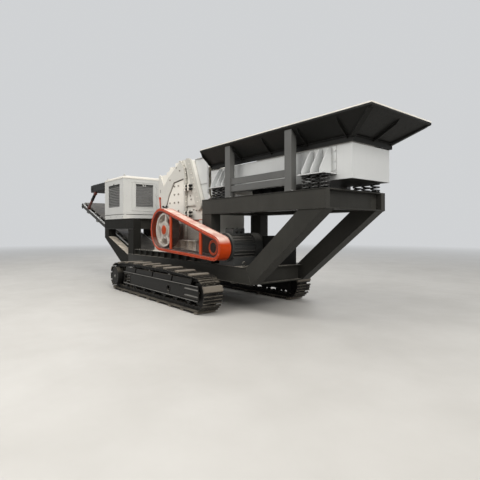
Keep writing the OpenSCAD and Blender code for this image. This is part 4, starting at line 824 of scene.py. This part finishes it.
def frame_details():
    edge, bead, bolts = Shape(), Shape(), Shape()
    top_x = -1757 - 335 * math.sin(STRUT_SLOPE)
    low_z = 560 + 335 * math.cos(STRUT_SLOPE)
    mitre = top_x + (880 - low_z) / math.tan(STRUT_SLOPE)
    strut_top = top_x + (1940 - low_z) / math.tan(STRUT_SLOPE)
    edges = ((-3420, -2, HIGH), (-3420, -2, HIGH_TOP - EDGE),
             (-7460, -1775, LOW), (-7460, mitre - 12, LOW_TOP - EDGE),
             (-9448, -7102, HIGH - 320), (-9448, -7102, HIGH - EDGE))
    welds = ((-1757, 560, mitre, 880), (-20, 1936, strut_top, 1936), (-3418, 1936, -3072, 1936),
             (-3418, 884, -3072, 884), (-7478, 884, -7102, 884), (-7478, 1618, -7102, 1618),
             (-7480, 564, -7480, 842))
    for side in SIDES:
        out = side * HALF
        lo, hi = sorted((out, side * (HALF + EDGE)))
        for x0, x1, z in edges:
            edge.box(x0, x1, lo, hi, z, z + EDGE)
        for y in (side * (HALF + 1), side * (HALF - 239)):
            for x0, z0, x1, z1 in welds:
                bead.tube([(x0, y, z0), (x1, y, z1)], 6, 6)
        bead.tube([(1, out, 1944), (1, out, 2256)], 5, 6)
        for x in range(-3300, -120, 400):
            bead.tube([(x, side * (HALF + 1), HIGH + 14), (x + 60, side * (HALF + 1), HIGH + 14)], 4, 6)
        for i in range(24):
            x = -7000 + 150 * i
            bolts.bolt((x, side * (HALF - 50), 1030), (0, 0, 1), 24)
    for y in (-660, 660):
        for x in (-3300, -2700, -2100, -1200, -600, -60):
            bolts.bolt((x, y, HIGH_TOP), (0, 0, 1), 24)
    piece("beam_edges", edge, "frame_steel")
    piece("frame_welds", bead, "frame_steel", smooth=60)
    piece("rail_bolts", bolts, "frame_steel", smooth=30)
    hook = Shape()
    hook.box(-2010, -1900, -HALF - 2, -HALF + 60, 890, 902)
    hook.tube([(-1955, -790, 900), (-1955, -790, 960), (-1955, -815, 990), (-1955, -850, 985),
               (-1955, -862, 950)], 12, 10)
    piece("beam_hook", hook, "frame_steel", smooth=50)


def hopper_details():
    bolts, beads = Shape(), Shape()
    for side in SIDES:
        for x0 in SPRING_XS:
            for dx in (-255, -92, 92, 255):
                for z in (2560, 2700, 2860):
                    bolts.bolt((x0 + dx, side * 527, z), (0, side, 0), 24)
            for dx in (-262, 262):
                bolts.bolt((x0 + dx, side * 790, 2505), (0, 0, 1), 24)
            for k in (-1, 0, 1):
                x = x0 + SPRING_STEP * k
                for s in (-8, 8):
                    beads.tube([(x + s, side * 530, 2507), (x + s, side * 820, 2507)], 5, 6)
        for x in (-2495, -797):
            for s in (-82, 82):
                beads.tube([(x + s, side * 818, 2263), (x + s, side * 702, 2263)], 6, 6)
    piece("feeder_bolts", bolts, "grey_paint", smooth=30)
    piece("feeder_welds", beads, "grey_paint", smooth=60)
    lip = Shape()
    y, z = 837 + 8, 3370 - 8
    lip.tube([(-3465, -y, z), (809, -y, z), (809, y, z), (-3465, y, z)], 7, 8)
    piece("rim_bead", lip, "cream_paint", smooth=60)
    # A thin dark sheet under the feeder pan: partly its dark underside, partly painted shade
    under = Shape()
    z0, z1 = 2397.2, 2399.8
    under.box(-2330, 266, -516, 516, z0, z1)
    for side in SIDES:
        under.box(-3500, -2330, *sorted((side * 458, side * 516)), z0, z1)
    piece("pan_underside", under, "dark_paint")
    drive = Shape()
    cover = [(150, -8), (150, 8), (120, 14), (60, 14), (52, 40), (20, 42)]
    for x in (-2030, -1690):
        for side in SIDES:
            drive.turned((x, side * 418, 2250), (0, side, 0), cover, 36)
            drive.bolt_circle((x, side * 426, 2250), (0, side, 0), 132, 8, 0, 20)
    piece("exciter_covers", drive, "dark_paint", smooth=35)


# The power house's ends, its door and louvres
HOUSE_X1 = -7860.0
HOUSE_X0 = -9430.0
DOOR_Y = -112
DOOR_HALF = 430
DOOR_Z = (2200, 3100)
LOUVRE_HALF = 295
RIM = 26
SIDE_X = -8625.0
SIDE_L = 950.0


def house_details():
    trim, rim, latch, dark, gap, roof = Shape(), Shape(), Shape(), Shape(), Shape(), Shape()
    z0, z1 = 2090.0, 3200.0
    for y in (-HALF, HALF):
        for x in (HOUSE_X0, HOUSE_X1):
            trim.tube([(x, y, z0 + 4), (x, y, z1 - 4)], 7, 8)
    y0, y1 = DOOR_Y - DOOR_HALF, DOOR_Y + DOOR_HALF
    z0, z1 = DOOR_Z
    for ya, za, yb, zb in ((y0, z0, y0, z1), (y0, z1, y1, z1), (y0, z0, y1, z0)):
        trim.tube([(HOUSE_X1 + 2, ya, za), (HOUSE_X1 + 2, yb, zb)], 7, 8)
    piece("house_trim", trim, "house_paint", smooth=60)
    lo, hi = DOOR_Y - LOUVRE_HALF - RIM, DOOR_Y + LOUVRE_HALF + RIM
    for ya, yb, za, zb in ((lo, hi, 3042, 3066), (lo, hi, 2298, 2322), (lo, lo + RIM, 2322, 3042),
                           (hi - RIM, hi, 2322, 3042)):
        rim.box(HOUSE_X1, HOUSE_X1 + 9, ya, yb, za, zb)
    piece("louvre_rim", rim, "house_paint", body="door")
    latch.box(HOUSE_X1 + 8, HOUSE_X1 + 16, -176, -76, 2972, 3078)
    grip = ((14, -160), (52, -160), (52, -92), (14, -92))
    latch.tube([(HOUSE_X1 + dx, y, 3058) for dx, y in grip], 11, 10)
    piece("door_handle", latch, "house_paint", body="door", smooth=40)
    dark.turned((HOUSE_X1 + 14, -126, 3004), (1, 0, 0), [(22, 0), (22, 8), (14, 10), (14, 22)], 20)
    # Dark strips below the louvre's top rim: painted shade in the gap
    for ya, yb in ((lo + RIM + 1, -190), (-62, hi - RIM - 1)):
        dark.box(HOUSE_X1 - 3, HOUSE_X1 + 6, ya, yb, 3006, 3041)
    piece("louvre_gap", dark, "dark_paint", body="door", smooth=40)
    # A dark strip along the house's side: painted shade in the gap under the side louvre
    x0, x1 = SIDE_X - SIDE_L / 2 + 28, SIDE_X + SIDE_L / 2 - 28
    gap.box(x0, x1, -HALF - 3, -HALF + 3, 3002, 3036)
    gap.turned((SIDE_X, -HALF - 2, 3052), NEAR, [(24, 0), (24, 6), (12, 8), (12, 20)], 20)
    piece("side_gap", gap, "dark_paint", smooth=40)
    for x in (HOUSE_X0 + 80, HOUSE_X1 - 80):
        for y in (-HALF + 70, HALF - 70):
            roof.box(x - 40, x + 40, y - 40, y + 40, 3262, 3290)
            arch = [(x + 34 * math.cos(t), y, 3300 + 34 * math.sin(t))
                    for t in (math.pi * i / 14 - 0.2 for i in range(17))]
            roof.tube(arch, 9, 8)
    piece("roof_eyes", roof, "house_paint", smooth=40)
    bolts = Shape()
    for x in (HOUSE_X0 + 60, -8900, -8400, HOUSE_X1 - 60):
        for side in SIDES:
            bolts.bolt((x, side * HALF, 2020), (0, side, 0), 30)
    for y in (-700, 700):
        for z in (2150, 2650, 3150):
            bolts.bolt((HOUSE_X1, y, z), (1, 0, 0), 16)
    piece("house_bolts", bolts, "house_paint", smooth=30)


# The conveyor's axis runs level to the bend and climbs from there
SLOPE = math.radians(18.3)
AXIS_Z = 636.0
BEND = -7011.0
HEAD = -12880
STRINGER_TOP = 64.0
# The iron separator's ends and heights, and its struts from foot to head
SEPARATOR_X = (-11880.0, -10250.0)
SEPARATOR_Z = (3050.0, 3315.0)
STRUT_FOOT = Vector((-12168, 0, 2482.0))
STRUT_HEAD = Vector((-11410, 0, 2989.0))


def on_conveyor(x, lift, y=0.0):
    """A point over the conveyor's axis line, square to it."""
    if x >= BEND:
        return (x, y, AXIS_Z + lift)
    return (x + lift * math.sin(SLOPE), y, AXIS_Z + (BEND - x) * math.tan(SLOPE) + lift * math.cos(SLOPE))


def conveyor_details():
    rolls, hangers, skirts = Shape(), Shape(), Shape()
    xs = [-2700 - 600 * i for i in range(7)] + [-7250 - 560 * i for i in range(10)]
    for x in xs:
        c = on_conveyor(x, 68)
        rolls.turned((c[0], -405, c[2]), FAR, [(38, 0), (41, 4), (41, 806), (38, 810)], 18)
        for side in SIDES:
            rolls.turned((c[0], side * 404, c[2]), (0, side, 0), [(14, 0), (14, 56)], 10)
    for x in xs[::2]:
        c = on_conveyor(x - 200, -168)
        rolls.turned((c[0], -405, c[2]), FAR, [(36, 0), (39, 4), (39, 806), (36, 810)], 18)
        a, b = on_conveyor(x - 200, -178), on_conveyor(x - 200, -50)
        for side in SIDES:
            hangers.tube([(a[0], side * 440, a[2]), (b[0], side * 462, b[2])], 12, 8)
            rolls.turned((c[0], side * 404, c[2]), (0, side, 0), [(14, 0), (14, 40)], 10)
    for x in [-7600 - 1000 * i for i in range(6)]:
        hangers.tube([on_conveyor(x, -40, -458), on_conveyor(x, -40, 458)], 22, 10)
    head_cover = [(110, -4), (110, 8), (90, 14), (48, 14), (44, 30), (14, 32)]
    for side in SIDES:
        skirts.box(-6950, -3700, *sorted((side * 395, side * 402)), AXIS_Z + 125, AXIS_Z + 215)
        for x in range(-6900, -3700, 400):
            skirts.box(x, x + 40, *sorted((side * 402, side * 470)), AXIS_Z + 150, AXIS_Z + 170)
        hangers.turned(on_conveyor(HEAD, 0, side * 515), (0, side, 0), head_cover, 32)
        hangers.bolt_circle(on_conveyor(HEAD, 0, side * 522), (0, side, 0), 96, 6, 15, 20)
        for x in [-7500 - 700 * i for i in range(7)]:
            hangers.bolt(on_conveyor(x, 40, side * 517), (0, side, 0), 22)
    stringer_highlights()
    piece("belt_rollers", rolls, "bare_steel", smooth=40)
    piece("roller_hangers", hangers, "frame_steel", smooth=40)
    piece("belt_skirts", skirts, "belt_rubber")


def stringer_highlights():
    """Pale strips on the stringers' top faces, mitred at the bend: a painted highlight where light catches
    them.
    """
    highlight_strips = Shape()
    start, head = on_conveyor(-2400, STRINGER_TOP), on_conveyor(HEAD, STRINGER_TOP)
    bend = (BEND + STRINGER_TOP * math.tan(SLOPE / 2), 0, AXIS_Z + STRINGER_TOP)
    for side in SIDES:
        lo, hi = sorted((side * 462, side * 515))
        for run in ((start, bend), (bend, head)):
            highlight_strips.loft([[(x, lo, z + 0.4), (x, hi, z + 0.4), (x, hi, z + 7), (x, lo, z + 7)]
                        for x, y, z in run])
    piece("stringer_highlights", highlight_strips, "grey_paint")


def separator_details():
    cleats, plates, sleeves = Shape(), Shape(), Shape()
    (x0, x1), (z0, z1) = SEPARATOR_X, SEPARATOR_Z
    for i in range(9):
        x = x0 + 120 + (x1 - x0 - 240) * i / 8
        cleats.box(x - 10, x + 10, -470, 470, z1 - 2, z1 + 26)
    outline = [(x0 + 20, z0 + 60), (x0 + 60, z0 + 20), (x1 - 60, z0 + 20), (x1 - 20, z0 + 60),
               (x1 - 20, z1 - 40), (x1 - 60, z1 - 12), (x0 + 60, z1 - 12), (x0 + 20, z1 - 40)]
    bearing = [(70, 0), (70, 8), (40, 12), (34, 30), (10, 31)]
    for side in SIDES:
        plates.prism(outline, *sorted((side * 500, side * 512)))
        for x in (x0 + 130, x1 - 130):
            plates.turned((x, side * 511, (z0 + z1) / 2), (0, side, 0), bearing, 28)
    piece("separator_cleats", cleats, "belt_rubber")
    piece("separator_plates", plates, "dark_paint", smooth=35)
    length = (STRUT_HEAD - STRUT_FOOT).length
    d = (STRUT_HEAD - STRUT_FOOT).normalized()
    p, q = STRUT_FOOT + d * length * 0.55, STRUT_HEAD - d * 70
    collar = p + d * 40
    for side in SIDES:
        sleeves.tube([(c.x, side * 487, c.z) for c in (p, q)], 55, 24)
        sleeves.tube([(c.x, side * 487, c.z) for c in (p, collar)], 60, 24)
    piece("strut_sleeves", sleeves, "dark_paint", smooth=40)


def motor_details():
    cover, box = Shape(), Shape()
    x, z = MOTOR
    cover.turned((x, -62, z), FAR, [(288, 0), (288, 60), (270, 90), (150, 100), (146, 92), (20, 92)], 48)
    for k in range(5):
        cover.tube(hoop(x, 42, z, 50 + 24 * k, 40), 4, 6)
    box.box(x - 120, x + 120, -735, -425, 1622, 1630)
    for dx in (-105, 105):
        for y in (-715, -445):
            box.bolt((x + dx, y, 1630), (0, 0, 1), 18)
    for k in range(2):
        box.turned((x + 130, -640 + 120 * k, 1560), (1, 0, 0), [(30, -2), (30, 16), (20, 20), (20, 34)], 20)
    box.tube(hoop(x, -400, z + 325, 38, 24), 10, 8)
    piece("fan_cover", cover, "dark_paint", smooth=35)
    piece("terminal_lid", box, "dark_paint", smooth=35)


def shape_details():
    coil_springs()
    expanded_mesh()
    guard_details()
    pulley_details()
    crusher_details()
    tie_details()
    track_details()
    frame_details()
    hopper_details()
    house_details()
    conveyor_details()
    separator_details()
    motor_details()


WARM = (1.0, 0.98, 0.95)
# Lamps: place, size, power, the point they face, and colour
LAMPS = {
    "key_low": ((4, -15, 6), (13, 6), 450, (0, 0, 1.4), (1.0, 0.975, 0.94)),
    "key_high": ((3, -10, 12), (15, 6), 1300, (0.5, 0, 1.4), WARM),
    "rear_low": ((28, -6, 7), (11, 7), 1300, (2, 0, 1.8), WARM),
    "rear_high": ((26, -6, 17), (12, 10), 4200, (1, 0, 1.8), WARM),
    "top": ((-1, 0, 12), (16, 6), 300, (-1, 0, 0), WARM),
    "back": ((-13, 10, 10.5), (14, 7), 770, (1, -1, 1.5), (0.97, 0.98, 1.0)),
}
# Strength of the world's light below and above, and of the backdrop that the camera sees
WORLD_LOW, WORLD_HIGH = 0.02, 0.45
BACKDROP = 0.66
SKY = (0.96, 0.98, 1.0, 1)
FLOOR_SIZE = 160
FLOOR_DARK, FLOOR_LIGHT = (0.49, 0.475, 0.445), (0.55, 0.535, 0.505)
# The floor's colour as it lights the machine from below
FLOOR_BOUNCE = (0.24, 0.23, 0.215)
# Distances between which the floor runs into the backdrop
FADE_FROM, FADE_TO = 11.0, 34.0


def lamp(name, place, size, power, aim, colour):
    data = bpy.data.lights.new(name, "AREA")
    data.shape = "RECTANGLE"
    data.size, data.size_y = size
    data.energy = power
    data.color = colour
    ob = bpy.data.objects.new(name, data)
    bpy.context.scene.collection.objects.link(ob)
    ob.location = place
    ob.rotation_euler = (Vector(aim) - Vector(place)).to_track_quat("-Z", "Y").to_euler()
    ob.visible_camera = False


def seen_directly(tree):
    """One for what the camera sees, straight or through gloss or glass, and nought for what only lights."""
    path = tree.nodes.new("ShaderNodeLightPath")
    seen = path.outputs["Is Camera Ray"]
    for other in ("Is Glossy Ray", "Is Transmission Ray"):
        most = tree.nodes.new("ShaderNodeMath")
        most.operation = "MAXIMUM"
        tree.links.new(seen, most.inputs[0])
        tree.links.new(path.outputs[other], most.inputs[1])
        seen = most.outputs[0]
    return seen


def make_world():
    world = bpy.data.worlds.new("world")
    bpy.context.scene.world = world
    world.use_nodes = True
    tree = world.node_tree
    sky = tree.nodes["Background"]
    coord = tree.nodes.new("ShaderNodeTexCoord")
    split = tree.nodes.new("ShaderNodeSeparateXYZ")
    tree.links.new(coord.outputs["Generated"], split.inputs[0])
    fade = tree.nodes.new("ShaderNodeMapRange")
    fade.interpolation_type = "SMOOTHSTEP"
    tree.links.new(split.outputs["Z"], fade.inputs["Value"])
    for key, v in (("From Min", -0.1), ("From Max", 0.9), ("To Min", WORLD_LOW), ("To Max", WORLD_HIGH)):
        fade.inputs[key].default_value = v
    pick = tree.nodes.new("ShaderNodeMix")
    tree.links.new(seen_directly(tree), pick.inputs[0])
    tree.links.new(fade.outputs[0], pick.inputs[2])
    pick.inputs[3].default_value = BACKDROP
    tree.links.new(pick.outputs[0], sky.inputs[1])
    sky.inputs[0].default_value = SKY


def make_stage():
    bpy.ops.mesh.primitive_plane_add(size=FLOOR_SIZE, location=(0, 0, -0.002))
    floor = bpy.context.object
    floor.name = "floor"
    n = Nodes("floor")
    pale = n.mix(n.ramp(n.noise(0.7, 5), 0.3, 0.7), FLOOR_DARK, FLOOR_LIGHT)
    n.put(n.shader.inputs["Base Color"], n.mix(seen_directly(n.tree), FLOOR_BOUNCE, pale))
    n.put(n.shader.inputs["Roughness"], n.ramp(n.noise(3.0, 4), 0.3, 0.7, 0.5, 0.65))
    # Far off, the floor runs into the backdrop
    far = n.tree.nodes.new("ShaderNodeVectorMath")
    far.operation = "LENGTH"
    n.link(n.coord, far.inputs[0])
    glow = n.tree.nodes.new("ShaderNodeEmission")
    glow.inputs[0].default_value = SKY
    glow.inputs[1].default_value = BACKDROP
    join = n.tree.nodes.new("ShaderNodeMixShader")
    away = n.ramp(far.outputs["Value"], FADE_FROM, FADE_TO)
    n.link(n.math("MULTIPLY", away, seen_directly(n.tree)), join.inputs[0])
    n.link(n.shader.outputs[0], join.inputs[1])
    n.link(glow.outputs[0], join.inputs[2])
    n.link(join.outputs[0], n.out.inputs[0])
    floor.data.materials.append(n.mat)
    make_world()
    for name, values in LAMPS.items():
        lamp(name, *values)


bpy.context.scene.view_settings.view_transform = "Standard"
make_camera()
dress_nodes()
shape_details()
make_stage()
